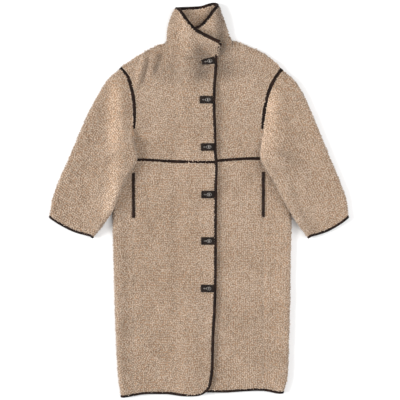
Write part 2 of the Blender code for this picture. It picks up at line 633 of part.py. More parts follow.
def fold_directions(edges, q):
    """Level unit vectors out of a sleeve at its two folds: along the ring, and soon square to the inner fold."""
    outer, inner = edges[2], edges[3]
    out = unit(outer(q) - patch(*edges, NUDGE, q))
    ring = unit(inner(q) - patch(*edges, 1 - NUDGE, q))
    ahead = inner(min(q + NUDGE, 1)) - inner(max(q - NUDGE, 0))
    square = unit(np.array([-ahead[1], ahead[0]]))
    square *= np.sign(square @ (inner(q) - outer(q)))
    return out, unit(ring + (square - ring) * ease(q / SQUARE_BY))


def sleeve_rings(side, rings=SLEEVE_RINGS):
    """The middle of a sleeve's wall ring by ring, and its outward direction."""
    edges, facing = sleeve_edges(side)
    outer, inner = edges[2], edges[3]
    middle, outward = [], []
    turn = np.linspace(math.pi / 2, -math.pi / 2, LOOP_STEPS + 1)[1:-1]
    for q in rings:
        width = np.linalg.norm(inner(q) - outer(q))
        flat = np.linspace(LOOP_START / width, 1.0 - LOOP_START / width, SLEEVE_ACROSS)
        out, into = fold_directions(edges, q)
        plan = patch(*edges, flat, q)
        first, last = outer(q) - out * LOOP_START - plan[0], inner(q) - into * LOOP_START - plan[-1]
        plan = plan + ease(1.0 - 2 * flat)[:, None] * first + ease(2 * flat - 1.0)[:, None] * last
        bow = np.cos(turn)[:, None]
        plan = np.concatenate([plan[::-1], plan[0] + LOOP * bow * out, plan, plan[-1] + LOOP * bow * into])
        still = np.zeros((len(flat), 2))
        aside = np.concatenate([still, bow * out, still, bow * into])
        level = np.r_[-np.ones(len(flat)), -np.sin(turn), np.ones(len(flat)), np.sin(turn)]
        from_edge = np.minimum(flat, 1.0 - flat) * width - LOOP_START
        from_edge = np.r_[from_edge[::-1], 0 * turn, from_edge, 0 * turn]
        puff = PUFF * (1.0 - ease(from_edge / PUFF_REACH))
        fold = fold_lift(SLEEVE_FOLDS[side], plan[:, 0], plan[:, 1])
        top = FRONT_MID + puff + sleeve_lift(side, plan, SLEEVE_RAMP_ABOVE) + np.maximum(fold, -AIR)
        low = BACK_MID + sleeve_lift(side, plan, SLEEVE_RAMP_BELOW)
        middle.append(with_height(plan, (top + low) / 2 + (top - low) / 2 * level))
        outward.append(np.concatenate([aside, level[:, None]], axis=1))
    return np.array(middle), np.array(outward), facing


def build_sleeves(fleece, leather):
    for side, word in ((RIGHT, "right"), (LEFT, "left")):
        middle, outward, facing = sleeve_rings(side)
        half = outward * CLOTH / 2
        add_wall("sleeve_" + word, middle + half, middle - half, grid(numbered(middle), closed=True), fleece)
        out = np.tile([*facing, 0.0], (middle.shape[1], 1))
        add_ribbon("cuff_binding_" + word, middle[-1], out, outward[-1], HEM_BINDING, BINDING_DEPTH, leather,
                   closed=True)


def square_to(direction, ahead, outward):
    """Unit vectors at right angles to a path and to the wall's outward direction, on a given side."""
    found = np.cross(ahead, outward)
    found *= np.sign(np.sum(found * direction, axis=1, keepdims=True))
    return found / np.linalg.norm(found, axis=1, keepdims=True)


def neck_outward(share):
    """The outward direction at the neck seam: level round the two folds, and upright elsewhere."""
    turns = [4, 5, 6, 10, 11, 12]
    aside, up = np.interp(share, turns, [0, -1, 0, 0, 1, 0]), np.interp(share, turns, [1, 0, -1, -1, 0, 1])
    found = np.stack([aside, 0 * aside, up], axis=1)
    return found / np.linalg.norm(found, axis=1, keepdims=True)


def build_collar(fleece, leather):
    share = np.arange(0, len(COLLAR) - 0.75, 0.5)
    level = np.linspace(0.0, 1.0, 5)
    middle = collar_mid(share[None, :], level[:, None])
    round_band, up_band = np.gradient(middle, axis=1), np.gradient(middle, axis=0)
    outward = np.cross(round_band, up_band)
    outward /= -np.linalg.norm(outward, axis=-1, keepdims=True)
    outward[0] = neck_outward(share)
    thick = COLLAR_SEAM_CLOTH + (COLLAR_CLOTH - COLLAR_SEAM_CLOTH) * ease(level / COLLAR_THICK_AT)
    half = outward * thick[:, None, None] / 2
    outer, inner = middle + half, middle - half
    for sheet in (outer, inner):
        sheet[..., 2] = np.maximum(sheet[..., 2], 0.0)
    add_wall("collar", outer, inner, grid(numbered(middle)), fleece)
    rim = square_to(up_band[-1], round_band[-1], outward[-1])
    gap = COLLAR_BINDING_GAP + FOLD_TWIST * ease(1.6 - np.abs(share - 5.5))
    add_ribbon("collar_binding", middle[-1], rim, outward[-1], COLLAR_BINDING, COLLAR_BINDING_DEPTH, leather, gap=gap)
    end = square_to(-round_band[1:, 0], up_band[1:, 0], outward[1:, 0])
    add_ribbon("collar_end_binding", middle[1:, 0], end, outward[1:, 0], BINDING, COLLAR_BINDING_DEPTH, leather,
               gap=COLLAR_BINDING_GAP)


def build_bindings(plans, hem_middle, hem_outward, leather):
    """Bindings along the front edge and hems, and pipings in the seams."""
    upper, lower = plans["upper", RIGHT], plans["lower", RIGHT]
    path = np.concatenate([upper[:, -1], lower[:, -1], lower[-1, -2::-1]])
    path[0, 1] -= NECK_CLEAR
    path = with_height(path, front_binding_height(RIGHT, path))
    width = BINDING + (HEM_BINDING - BINDING) * ease((-590.0 - path[:, 1]) / 40.0)
    add_ribbon("edge_binding", path, plan_outward(path), upright(path), width, BINDING_DEPTH, leather)
    path = plans["lower", LEFT][-1]
    path = with_height(path, front_binding_height(LEFT, path))
    add_ribbon("hem_binding_left", path, plan_outward(path), upright(path), HEM_BINDING, BINDING_DEPTH, leather)
    out = np.tile([0.0, -1.0, 0.0], (len(hem_middle), 1))
    add_ribbon("hem_binding_back", hem_middle, out, hem_outward, HEM_BINDING, BINDING_DEPTH, leather)
    for side, word in ((RIGHT, "right"), (LEFT, "left")):
        path = armhole(side, ARMHOLE_SHARES)
        path = with_height(path, piping_height(side, path))
        add_ribbon("armhole_piping_" + word, path, plan_outward(path), upright(path), ARMHOLE_PIPING,
                   PIPING_DEPTH, leather, gap=-ARMHOLE_PIPING / 2)
        x = plans["upper", side][-1, :, 0]
        path = np.stack([x, edge_y(WAIST[side], x)], axis=1)
        path = with_height(path, piping_height(side, path))
        add_ribbon("waist_piping_" + word, path, plan_outward(path), upright(path), WAIST_PIPING, PIPING_DEPTH,
                   leather, gap=-WAIST_PIPING / 2)
        welt = WELTS[side]
        y = np.linspace(welt.top, welt.bottom, 6)
        path = np.stack([0 * y + SIDE_SEAM[side], y, 0 * y + FRONT_MID], axis=1)
        add_ribbon("pocket_welt_" + word, path, plan_outward(path), upright(path), WELT, WELT_DEPTH, leather,
                   gap=-WELT / 2)


def oval(length, width, steps=12):
    turn = np.linspace(0.0, 2 * math.pi, steps, endpoint=False)
    return np.stack([length / 2 * np.cos(turn), width / 2 * np.sin(turn)], axis=1)


def add_plate(name, outline, low, high, finish):
    """A flat plate of any outline between two heights."""
    count = len(outline)
    points = np.concatenate([with_height(outline, low), with_height(outline, high)])
    sides = [(i, (i + 1) % count, (i + 1) % count + count, i + count) for i in range(count)]
    return add_object(name, points, [tuple(range(count)), tuple(range(count, 2 * count))] + sides, finish)


def add_ring(name, outline, hole, low, high, finish):
    """A flat ring between an outline and a hole with as many points."""
    sheets = [with_height(outline, high), with_height(hole, high), with_height(hole, low), with_height(outline, low)]
    points = np.array(sheets)
    index = numbered(points)
    faces = grid(np.concatenate([index, index[:1]]), closed=True)
    return add_object(name, points.reshape(-1, 3), faces, finish)


def tab_outline(tab):
    """A tab's outline from the front edge to its free end, about the middle of its edge end."""
    half, free, cut = TAB_WIDTH / 2, tab.free_width / 2, TAB_CORNER
    corner = [(1.0, 0.0), (0.7, 0.08), (0.3, 0.3), (0.08, 0.7), (0.0, 1.0)]
    upper = [(0.0, half)] + [(-TAB_LENGTH + cut * along, free - cut * down) for along, down in corner]
    return np.array(upper + [(x, -y) for x, y in reversed(upper)])


def turned(outline, tilt, at):
    turn = math.radians(tilt)
    spin = np.array([[math.cos(turn), math.sin(turn)], [-math.sin(turn), math.cos(turn)]])
    return outline @ spin + at


def build_fastenings(leather, metal):
    """Six tabs, each with the oval ring and the rivet of its turn lock."""
    low = FRONT_MID + OVERLAP_STEP + CLOTH / 2 + TAB_CLEAR
    top = low + TAB_THICKNESS
    for number, tab in enumerate(TABS, 1):
        edge = np.array([edge_x(FRONT_EDGE, tab.y) - BINDING / 2 - SEAM, tab.y])
        add_plate(f"tab_{number}", turned(tab_outline(tab), tab.tilt, edge), low, top, leather)
        lock = oval(LOCK_LENGTH, LOCK_WIDTH) - [LOCK_FROM_EDGE, 0.0]
        hole = oval(LOCK_LENGTH - 2 * LOCK_RIM, LOCK_WIDTH - 2 * LOCK_RIM) - [LOCK_FROM_EDGE, 0.0]
        rise = top + SEAM
        add_ring(f"lock_{number}", turned(lock, tab.tilt, edge), turned(hole, tab.tilt, edge), rise,
                 rise + LOCK_DEPTH, metal)
        rivet = oval(RIVET_LENGTH, RIVET_WIDTH, 8) - [RIVET_FROM_EDGE, 0.0]
        add_plate(f"rivet_{number}", turned(rivet, tab.tilt, edge), rise, rise + RIVET_DEPTH, metal)


def main():
    for left_over in list(bpy.data.objects):
        bpy.data.objects.remove(left_over)
    fleece = material("fleece", (0.47, 0.34, 0.245), 0.95)
    leather = material("leather", (0.035, 0.02, 0.013), 0.5)
    metal = material("gunmetal", (0.16, 0.145, 0.135), 0.35, 1.0)
    plans = build_fronts(fleece)
    hem_middle, hem_outward = build_back(fleece)
    build_sleeves(fleece, leather)
    build_collar(fleece, leather)
    build_bindings(plans, hem_middle, hem_outward, leather)
    build_fastenings(leather, metal)


main()
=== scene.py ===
"""The faux fur coat's looks: fleece with its curls, leather bindings, tabs and turn locks.

The coat lies on its back on the floor, z = 0, with its collar towards +Y, and is seen from straight above.
Right and left are the wearer's, so the right front, which laps over the left one, is on the -X side.
Sizes are in millimetres up to the place where a mesh is made, and MM turns them to metres. The shape is
worked out as for the solids, from the same sizes but for the few whose comments say otherwise, and is then
divided more finely.
"""

import math
from collections import namedtuple

import bmesh
import bpy
import numpy as np
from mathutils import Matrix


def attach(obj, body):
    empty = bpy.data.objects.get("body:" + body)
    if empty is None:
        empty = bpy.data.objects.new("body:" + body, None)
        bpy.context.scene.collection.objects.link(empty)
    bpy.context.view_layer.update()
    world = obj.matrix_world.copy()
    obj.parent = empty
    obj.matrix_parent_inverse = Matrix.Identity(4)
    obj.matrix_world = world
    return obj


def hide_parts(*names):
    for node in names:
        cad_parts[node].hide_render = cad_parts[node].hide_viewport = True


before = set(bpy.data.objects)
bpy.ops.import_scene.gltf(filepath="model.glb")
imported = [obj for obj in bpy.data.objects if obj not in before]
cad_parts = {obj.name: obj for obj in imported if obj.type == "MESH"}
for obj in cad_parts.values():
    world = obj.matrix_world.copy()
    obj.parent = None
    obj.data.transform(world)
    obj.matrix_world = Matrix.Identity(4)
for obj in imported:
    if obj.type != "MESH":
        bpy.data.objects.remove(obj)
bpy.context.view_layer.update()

MM = 0.001
RIGHT, LEFT = -1, 1
SIDES = {RIGHT: "right", LEFT: "left"}
FOOTPRINT_MIDDLE = (0.0, -0.3)

# Driving dimensions
CLOTH = 10.0  # fleece with its pile
COLLAR_CLOTH = 12.0  # two fleeces back to back, pressed by their own weight
COLLAR_SEAM_CLOTH = 8.0  # and where they are sewn to the neck
COLLAR_THICK_AT = 0.7  # the share of the collar's height where it reaches its full thickness
SEAM = 0.3  # between pieces that are sewn together
AIR = 0.5  # between cloths that lie on each other
OVERLAP_STEP = CLOTH + 0.6  # how much higher the right front is where it lies on the left one
# Where the right front rises over the left one, 16 and 18 mm nearer to its edge than in the solids
OVERLAP_FROM, OVERLAP_FULL = -84.0, -46.0
UNDERLAP_EDGE = -45.0
NECK_CLEAR = 1.5  # between the front edge's binding and the collar
BINDING, HEM_BINDING, BINDING_DEPTH = 8.5, 7.0, 8.5
HEM_BINDING_FROM, HEM_BINDING_FADE = -590.0, 40.0  # the edge's binding narrows below this, over this much
FOLD_TWIST = 1.2  # more room for the collar's binding where its edge twists round the right-hand fold
COLLAR_BINDING, COLLAR_BINDING_DEPTH, COLLAR_BINDING_GAP = 9.5, 10.0, 0.7
ARMHOLE_PIPING, WAIST_PIPING, PIPING_DEPTH, PIPING_SINK = 9.0, 6.5, 7.0, 1.0
WELT, WELT_DEPTH = 9.0, 8.0
TAB_LENGTH, TAB_WIDTH, TAB_THICKNESS, TAB_CORNER, TAB_CLEAR = 43.0, 25.0, 2.2, 3.5, 0.4
LOCK_LENGTH, LOCK_WIDTH, LOCK_RIM, LOCK_DEPTH = 17.0, 13.0, 2.6, 1.6
RIVET_LENGTH, RIVET_WIDTH, RIVET_DEPTH = 7.5, 5.0, 1.8
PUFF, PUFF_REACH = 4.0, 45.0  # how much a folded edge swells, and over what width
EDGE_ROUND, SHOULDER_LIP = 12.0, 4.0
SHOULDER_SLOPE = 0.86  # the cosine of the shoulder's slope
NECK_REACH, NECK_FADE = 100.0, 8.0  # how far from the middle the shoulders' rounding starts, and how fast
SLEEVE_LIFT = 27.0  # a sleeve's underside above the floor where it lies on the body
SLEEVE_RISE_FROM = 240.0  # the height on the coat where it starts to rise
SLEEVE_RAMP_FROM, SLEEVE_RAMP_BELOW, SLEEVE_RAMP_ABOVE = 8.0, 50.0, 90.0
SQUARE_BY = 0.2  # the share of a sleeve's length by which its rings meet its inner fold at right angles

BACK_MID = CLOTH / 2
FRONT_MID = CLOTH * 1.5 + AIR
LOOP = (FRONT_MID + PUFF - BACK_MID) / 2  # radius of the middle of the wall round a folded edge
LOOP_START = CLOTH / 2 + LOOP
SIDE_SEAM = {RIGHT: -214.5, LEFT: 211.0}
UNDERARM_Y, HEM_Y = 118.0, -640.0
HEM_SHAPE_FROM = -450.0  # the hem's own shape shows in the rows below this height
WAIST_FOOT_INSET = 1.5  # how far inside the side seam an upper front's lower corner is
UPPER_FRONT_FOOT, LOWER_FRONT_HEAD = 125.0, 122.0  # where a front's inner edge is taken at the waist
SIDE_HEIGHTS = (-190.0, -330.0, -460.0, -560.0)  # of the rows down the side seam below the pocket welt

# Outlines of the body: the x of an edge at heights up the coat
At = namedtuple("At", "y x")
SIDE_EDGE = {
    RIGHT: [At(-650, -255), At(-625, -260), At(-597, -264), At(-562, -267), At(-496, -271),
            At(-397, -275), At(-298, -278), At(-166, -281), At(-44, -284), At(30, -281), At(85, -271),
            At(118, -257), At(167, -206)],
    LEFT: [At(-650, 275), At(-632, 281), At(-612, 287), At(-592, 291), At(-562, 293), At(-496, 295),
           At(-397, 298), At(-298, 300), At(-166, 302), At(-44, 304), At(30, 301), At(85, 286),
           At(118, 265), At(160, 202)],
}
FRONT_EDGE = [At(-606, 36), At(-582, 40), At(-555, 43), At(-502, 44.5), At(-423, 47.5), At(-344, 52),
              At(-238, 54), At(-27, 54.5), At(52, 55.5), At(105, 57), At(158, 54), At(237, 52),
              At(316, 50), At(369, 51), At(422, 55), At(480, 57)]

# Other outlines are places on the plan
Place = namedtuple("Place", "x y")
SHOULDER = {
    RIGHT: [Place(-232, 451), Place(-208, 467), Place(-183, 482), Place(-158, 495), Place(-133, 506),
            Place(-111, 513)],
    LEFT: [Place(238, 461), Place(212, 479), Place(185, 493), Place(152, 507), Place(134, 514),
           Place(118, 519)],
}
ARMHOLE = {
    RIGHT: [Place(-257, 432), Place(-243, 416), Place(-232, 400), Place(-225, 380), Place(-219, 357),
            Place(-214, 325), Place(-211, 285), Place(-212, 255), Place(-214, 232)],
    LEFT: [Place(271, 428), Place(251, 399), Place(235, 370), Place(226, 345), Place(219, 315),
           Place(213, 282), Place(210, 250), Place(209, 232)],
}
# The body's edge below the armhole's piping, where the sleeve's fold hides it. It reaches about 4 mm further
# under the sleeve than in the solids, so that no floor shows between them
ARMHOLE_FOOT = {
    RIGHT: [Place(-219, 222), Place(-213, 198), Place(-207, 166)],
    LEFT: [Place(213, 222), Place(206.5, 198), Place(201, 162)],
}
WAIST = {
    RIGHT: [At(131, -222), At(131.5, -199), At(128.5, -133), At(125, -70), At(123.5, -7), At(122.5, 60)],
    LEFT: [At(125.5, UNDERLAP_EDGE), At(126.2, 0), At(128, 60), At(132.5, 120), At(135, 167),
           At(134.5, 222)],
}
# Cloth edges at the hem. The binding is outside them
RIGHT_HEM = [Place(-214.35, -636), Place(-194, -632), Place(-173, -630), Place(-127, -629.7),
             Place(-101, -630), Place(-73, -633.4), Place(-43, -635), Place(-16, -635), Place(0, -633),
             Place(12, -628), Place(21, -620.5), Place(28, -610.5), Place(31.4, -601)]
LEFT_HEM = [Place(210.85, -619.3), Place(193, -618.5), Place(168, -619.5), Place(142, -620.7),
            Place(115, -622.7), Place(92, -624.5), Place(63, -624.5), Place(23, -623.7),
            Place(UNDERLAP_EDGE, -623.5)]
BACK_HEM = [At(-641.5, -265), At(-639.5, -238), At(-636, -215), At(-629, -180), At(-627, -100),
            At(-626, 0), At(-621, 40), At(-621, 100), At(-618, 145), At(-617, 190), At(-619.3, 211),
            At(-622.5, 233), At(-626.5, 253), At(-627.5, 295)]
# Where the necks of the panels go round the collar's two folds, 4 to 6 mm nearer to it than in the solids
NECK_CORNER = {
    "front_right": [Place(-106, 515), Place(-105, 501), Place(-100, 488)],
    "front_left": [Place(112, 522), Place(112, 508), Place(106, 495)],
    "back_right": [Place(-106, 515), Place(-105, 503), Place(-96, 496)],
    "back_left": [Place(102, 499), Place(111, 507), Place(112, 522)],
}

# The largest folds: a line on the coat, how high the cloth rises or sinks there, and how far to each side
Fold = namedtuple("Fold", "x0 y0 x1 y1 rise reach")
FOLD_FADE = 0.3  # the share of a fold's length over which it rises at each end
RIGHT_FRONT_FOLDS = [
    Fold(-86, -120, -58, -760, 5.0, 42),
    Fold(-172, 505, -216, 350, 7.0, 18),
    Fold(-154, 505, -202, 345, -3.5, 18),
    Fold(-138, 515, -168, 400, 5.0, 18),
    Fold(-112, 505, -160, 385, -3.5, 20),
    Fold(-72, 520, -14, 325, 7.0, 30),
    Fold(-96, 490, -60, 370, -3.0, 22),
]
LEFT_FRONT_FOLDS = [Fold(150, 520, 196, 330, 3.0, 30)]
SLEEVE_FOLDS = {
    RIGHT: [Fold(-262, 400, -228, 150, 5.0, 34), Fold(-240, 200, -330, -110, 5.0, 34),
            Fold(-330, 340, -410, 10, -2.5, 40)],
    LEFT: [Fold(262, 400, 230, 160, 4.0, 32), Fold(236, 180, 335, -120, 5.0, 32),
           Fold(330, 330, 420, 0, 3.0, 45)],
}

# Sleeves: the outer fold from the shoulder, and the inner fold from the armhole, to the cuff
SLEEVE_OUTER = {
    RIGHT: [Place(-297, 397), Place(-333, 344), Place(-356, 300), Place(-389, 228.5),
            Place(-421.5, 150), Place(-459, 65), Place(-483, -5), Place(-493, -58)],
    LEFT: [Place(311, 395), Place(346, 340), Place(366, 294), Place(394, 228), Place(426, 148),
           Place(461, 65), Place(484, 0), Place(493, -58)],
}
SLEEVE_INNER = {
    RIGHT: [Place(-219.6, 214), Place(-213, 196), Place(-206, 165), Place(-200, 132), Place(-213, 104),
            Place(-231, 75), Place(-263, 5), Place(-284, -44), Place(-311, -82), Place(-347, -128)],
    LEFT: [Place(213.5, 218), Place(206, 196), Place(200, 163), Place(200, 132), Place(211, 108),
           Place(228, 84), Place(259, 28), Place(299, -46), Place(323, -82), Place(357, -128)],
}
CUFF_BOW = {RIGHT: 8.0, LEFT: 9.0}

# The middle of the collar's wall, round its band from the end that laps over to the one below it: where it
# is sewn to the neck, halfway up, and at its bound rim
Station = namedtuple("Station", "neck_x neck_y neck_z mid_x mid_y mid_z rim_x rim_y rim_z")
COLLAR = [
    Station(52, 475, 26.1, 61, 492, 43, 65, 508, 53),
    Station(22, 472, 26.1, 31, 500, 43, 33, 523, 53),
    Station(-22, 468, 26.1, -20, 512, 43, -16, 550, 53),
    Station(-62, 468, 26.1, -60, 530, 42, -46, 584, 52),
    Station(-92, 480, 17.0, -92, 552, 32, -66, 613, 43),
    Station(-101, 500, 10.0, -98, 560, 18, -77, 618, 25),
    Station(-88, 501, 5.0, -86, 562, 7, -66, 621, 7),
    Station(-45, 493, 5.0, -42, 563, 7, -34, 623, 7),
    Station(5, 490, 5.0, 6, 565, 7, 8, 626, 7),
    Station(58, 495, 5.0, 52, 570, 7, 30, 633, 7),
    Station(94, 504, 5.0, 72, 572, 7, 49, 637, 7),
    Station(107, 508, 10.0, 84, 572, 15, 62, 629, 21),
    Station(98, 490, 15.5, 78, 560, 27, 52, 615, 36),
    Station(72, 479, 15.5, 54, 528, 28, 30, 584, 37),
    Station(34, 475, 15.5, 22, 512, 28, 9, 563, 37),
    Station(-12, 473, 15.5, -16, 506, 28, -18, 550, 37),
]
OVER_STATIONS, BACK_STATIONS, UNDER_STATIONS = (0, 4), (6, 10), (12, 15)
TURN_STATIONS = (4, 5, 6, 10, 11, 12)  # before, at and after each of the collar's two folds
TWIST_STATION, TWIST_REACH = 5.5, 1.6
JUST_ABOVE_NECK = 0.1  # a level on the collar, to find which way it leaves the neck
# The shares of the collar's height by which it has its whole pile and its whole creases
COLLAR_PILE_BY, COLLAR_CREASES_BY = 0.3, 0.25

# Fastening tabs up the right front: the middle's height, the width at the free end, and the tilt in degrees
Tab = namedtuple("Tab", "y free_width tilt")
TABS = [Tab(456, 17, 10), Tab(326.5, TAB_WIDTH, 0), Tab(172.5, TAB_WIDTH, 1), Tab(17, TAB_WIDTH, 0),
        Tab(-134.5, TAB_WIDTH, 0), Tab(-290, TAB_WIDTH, -1)]
LOCK_FROM_EDGE, RIVET_FROM_EDGE = 17.0, 31.0
# Pocket welts in the side seams: the heights of their ends
Welt = namedtuple("Welt", "top bottom")
WELTS = {RIGHT: Welt(87, -59), LEFT: Welt(91, -56)}
# Knots along the outlines
ARMHOLE_SHARES = np.r_[0.0, np.linspace(0.06, 0.94, 8), 1.0]
ARMHOLE_PART = 0.7  # the armhole's share of an upper panel's outer edge
FOOT_KNOTS = [0.74, 0.8, 0.88]
SLEEVE_KNOTS = np.r_[0.0, 0.05, 0.11, 0.17, 0.23, 0.29, 0.35, np.linspace(0.42, 1.0, 9)]
WELT_STEP, WELT_NOTCH = 0.9, 0.05  # how far outside and inside each end of a welt its pair of rows is
NUDGE = 0.01  # a small share, to find directions
# How much a panel's columns lean out below a corner of its neck, over a share of its width
FAN, FAN_REACH = 200.0, 0.25

# How finely the cloth is divided, and how its pile grows
STEP, BACK_STEP, SIDE_STEP = 8.5, 14.0, 9.0
LOOP_STEPS, WRAP_STEPS, WELT_STEPS = 12, 9, 24
# About how long each line is that is divided into steps
UPPER_WIDTH, UPPER_LENGTH, LOWER_WIDTH, LOWER_LENGTH = 380.0, 400.0, 280.0, 760.0
BACK_TOP_LENGTH, ARMHOLE_LENGTH = 620.0, 230.0
SLEEVE_WIDTH, SLEEVE_LENGTH, STATION_LENGTH, COLLAR_ROWS = 200.0, 520.0, 50.0, 20
PILE = 3.0  # how high the nubs stand on the cloth
PILE_FADE = 0.8  # a wall has its whole pile where its outward z is this far above -1
THINNEST_CLOTH = 1.2  # below the pile
SEAM_DIP, SEAM_DIP_REACH = 2.8, 9.0
NUB_SPACING, NUB_RADIUS = 5.2, 3.1
NUB_SCALE = (1.32, 0.85, 0.75)
CURL_SPACING, CURL_LENGTH, CURL_BOW, CURL_RISE, STRAND_RADIUS = 6.2, 6.5, 5.0, 6.0, 1.15
PILE_TILT = 0.45
PILE_SIZES = (0.8, 1.2)
NUB_SEED, CURL_SEED, SIZE_SEED, TINT_SEED = 0, 50, 7, 11
LOWEST_PILE = -0.35  # faces that point further down than this grow none
PILE_FROM_FLOOR = 8.0
MOST_CURLS = 200000.0  # nubs or curls to the square metre, before the spacing thins them
HIDDEN_UNDER_EDGE = 9.0  # the left front has no pile further than this under the right one's edge

# What lies on the cloth
STITCH_PITCH, STITCH_LENGTH, STITCH_WIDTH = 4.6, 3.0, 0.8
TAB_STITCH_PITCH, TAB_STITCH_INSET = 6.4, 2.6
BAND_SIDES, BAND_SQUARE = 14, 0.62
# The fleece of the collar comes over the binding at its end, but for the corner
COLLAR_END_COVER, COLLAR_END_RISE, COLLAR_END_CORNER = 7.0, 2.5, 0.2
BAND_SWELL = 1.7  # how far bands press into the pile beside them
EDGE_PROUD, PIPING_PROUD = 1.2, 2.0  # how far bindings and pipings stand out of it
STITCH_FROM_EDGE = 1.9
TAB_ROUND, RING_SIDES = 0.9, 10
TAB_CORNER_STEPS, TAB_SIDE_STEPS, RING_STEPS, SMALL_OVAL_STEPS, ROUNDING_STEPS = 7, 12, 40, 24, 4
RING_SINK = 0.2  # how much nearer to the tab the ring lies than its solid
BAR_LENGTH, BAR_WIDTH, BAR_HEIGHT, BAR_ROUND, BAR_DOME = 10.5, 4.4, 2.2, 0.9, 0.3
RIVET_ROUND, RIVET_DOME, RIVET_RIM = 0.7, 0.5, 0.6  # the rim is this much lower than the rivet's depth
DOME_SHARES = (0.75, 0.5, 0.25)  # rings of a dome, as shares of its outline

# Soft relief: long low waves, and creases as lines with their own rise and reach
Wave = namedtuple("Wave", "length degrees phase rise")
WAVES = [Wave(210, 15, 0.4, 0.7), Wave(120, 78, 1.9, 0.5), Wave(74, -38, 3.1, 0.35)]
FRONT_CREASES = {
    RIGHT: [Fold(-176, 474, -204, 372, 4.0, 14), Fold(-161, 474, -190, 367, -3.4, 14),
            Fold(-137, 489, -161, 402, 3.6, 13), Fold(-113, 494, -146, 402, -3.4, 14),
            Fold(-26, 470, -12, 372, 3.2, 28), Fold(20, 480, 22, 380, -3.4, 36),
            Fold(-160, 262, -40, 335, 2.6, 28), Fold(-130, 228, -20, 290, -2.2, 24),
            Fold(-120, 196, -20, 240, 1.8, 24), Fold(-68, 420, -68, -950, -5.0, 34),
            Fold(-18, 60, -20, -980, 3.0, 34), Fold(-190, 60, -150, -210, -1.4, 34),
            Fold(-190, -300, -160, -640, 1.2, 36), Fold(-180, -420, -90, -340, 1.2, 22)],
    LEFT: [Fold(203, 190, 203, -150, -4.5, 46), Fold(42, 480, 52, 350, 3.4, 50),
           Fold(90, 470, 110, 300, -2.0, 30), Fold(70, 300, 160, 270, -2.0, 26),
           Fold(90, 330, 180, 310, 2.2, 26), Fold(150, 330, 120, 170, -1.2, 30),
           Fold(110, 80, 130, -260, 1.6, 38), Fold(170, 40, 175, -330, -1.3, 26),
           Fold(100, -260, 120, -640, -1.4, 34), Fold(60, -350, 150, -320, 1.4, 22),
           Fold(180, -330, 165, -640, 1.6, 30)],
}
SIDE_CREASES = {RIGHT: [Fold(-266, 340, -260, -960, 4.8, 36), Fold(-228, 340, -226, -960, -3.0, 26)],
                LEFT: [Fold(270, 340, 266, -960, 2.4, 40), Fold(232, 340, 226, -960, -1.6, 30),
                       Fold(203, 190, 203, -150, -3.5, 46)]}
SLEEVE_CREASES = {
    RIGHT: [Fold(-258, 420, -250, 110, 3.0, 38), Fold(-236, 250, -280, -130, 7.0, 42),
            Fold(-306, 420, -320, 160, -4.8, 38), Fold(-328, 230, -380, -110, -4.2, 44),
            Fold(-300, 20, -400, -60, 1.6, 20), Fold(-390, 150, -440, -20, 1.4, 26),
            Fold(-420, -60, -370, -110, 2.0, 20)],
    LEFT: [Fold(298, 420, 308, 70, 5.2, 64), Fold(330, 170, 412, -110, 3.2, 60),
           Fold(270, 190, 330, 60, -1.4, 24), Fold(380, 190, 440, -10, 1.6, 28),
           Fold(310, 10, 410, -70, 1.4, 20)],
}
COLLAR_CREASES = [Fold(-46, 660, -16, 420, 7.0, 26), Fold(14, 540, 28, 410, -5.4, 32),
                  Fold(-84, 600, -70, 470, -1.8, 18), Fold(-102, 506, -84, 466, -2.4, 12)]

# The flat cut of each piece of cloth, in metres and square metres, what it lies on, and the bands sewn to it
Cut = namedtuple("Cut", "width length area rests_on bands")

# Painted light and shade: strips like creases, with a share of the pile's colour for a rise.
# Lighter ones are painted light on the lit flanks of folds. Darker ones are painted shade of folds, the
# darkest below and beside the collar
FRONT_PAINTED_SHADING = {
    RIGHT: [Fold(-163, 478, -192, 362, -0.18, 11), Fold(-180, 472, -209, 376, 0.12, 10),
            Fold(-117, 493, -150, 398, -0.16, 12), Fold(6, 520, 12, 370, -0.42, 50),
            Fold(-180, 430, -10, 410, -0.14, 60)],
    LEFT: [Fold(62, 500, 92, 380, -0.25, 48), Fold(60, 440, 200, 430, -0.12, 56)],
}
SLEEVE_PAINTED_SHADING = {RIGHT: [Fold(-274, 430, -280, 120, 0.36, 36), Fold(-262, 190, -300, -110, 0.24, 36)],
               LEFT: [Fold(222, 430, 218, 100, 0.44, 66), Fold(330, 100, 420, -160, 0.1, 60)]}
COLLAR_PAINTED_SHADING = [Fold(0, 680, 6, 540, 0.32, 50), Fold(-62, 660, -46, 460, 0.14, 26),
               Fold(8, 520, 12, 380, -0.42, 46), Fold(64, 690, 78, 430, -0.45, 25)]

# Colours, each from dark to light
PILE_COLOURS = (0.505, 0.359, 0.241), (0.76, 0.58, 0.431)
# Painted shade towards a nub's root and painted light on its crown, as factors on its colour
PILE_ROOT_SHADE_CROWN_LIGHT = (0.42, 0.35, 0.305), (1.05, 1.1, 1.16)  # of a nub's root and crown
# Painted shade in the hollows between the ground's bumped curls, as factors on its colour
GROUND_HOLLOW_SHADE = (0.46, 0.39, 0.335), (0.62, 0.55, 0.49)
# The shares of a nub's own tint and of its tuft in its colour. The rest is a wider patch
TINT_SHARE, TUFT_SHARE = 0.3, 0.25
BINDING_COLOURS = (0.006, 0.0024, 0.0014), (0.024, 0.0098, 0.0056)
TAB_COLOURS = (0.007, 0.0042, 0.0032), (0.022, 0.014, 0.0105)
THREAD_COLOURS = (0.02, 0.013, 0.01), (0.06, 0.04, 0.03)
GUNMETAL_COLOURS = (0.10, 0.092, 0.085), (0.26, 0.24, 0.22)
FLOOR_COLOURS = (0.86, 0.86, 0.86), (0.88, 0.88, 0.88)

# The floor, the camera and the light, in metres, with the lens in millimetres
FLOOR_HALF = 20.0
CAMERA_AT, CAMERA_LENS, SENSOR_WIDTH = (0.0033, -0.0005, 4.02), 110.0, 36.0
WORLD_LIGHT = 0.4
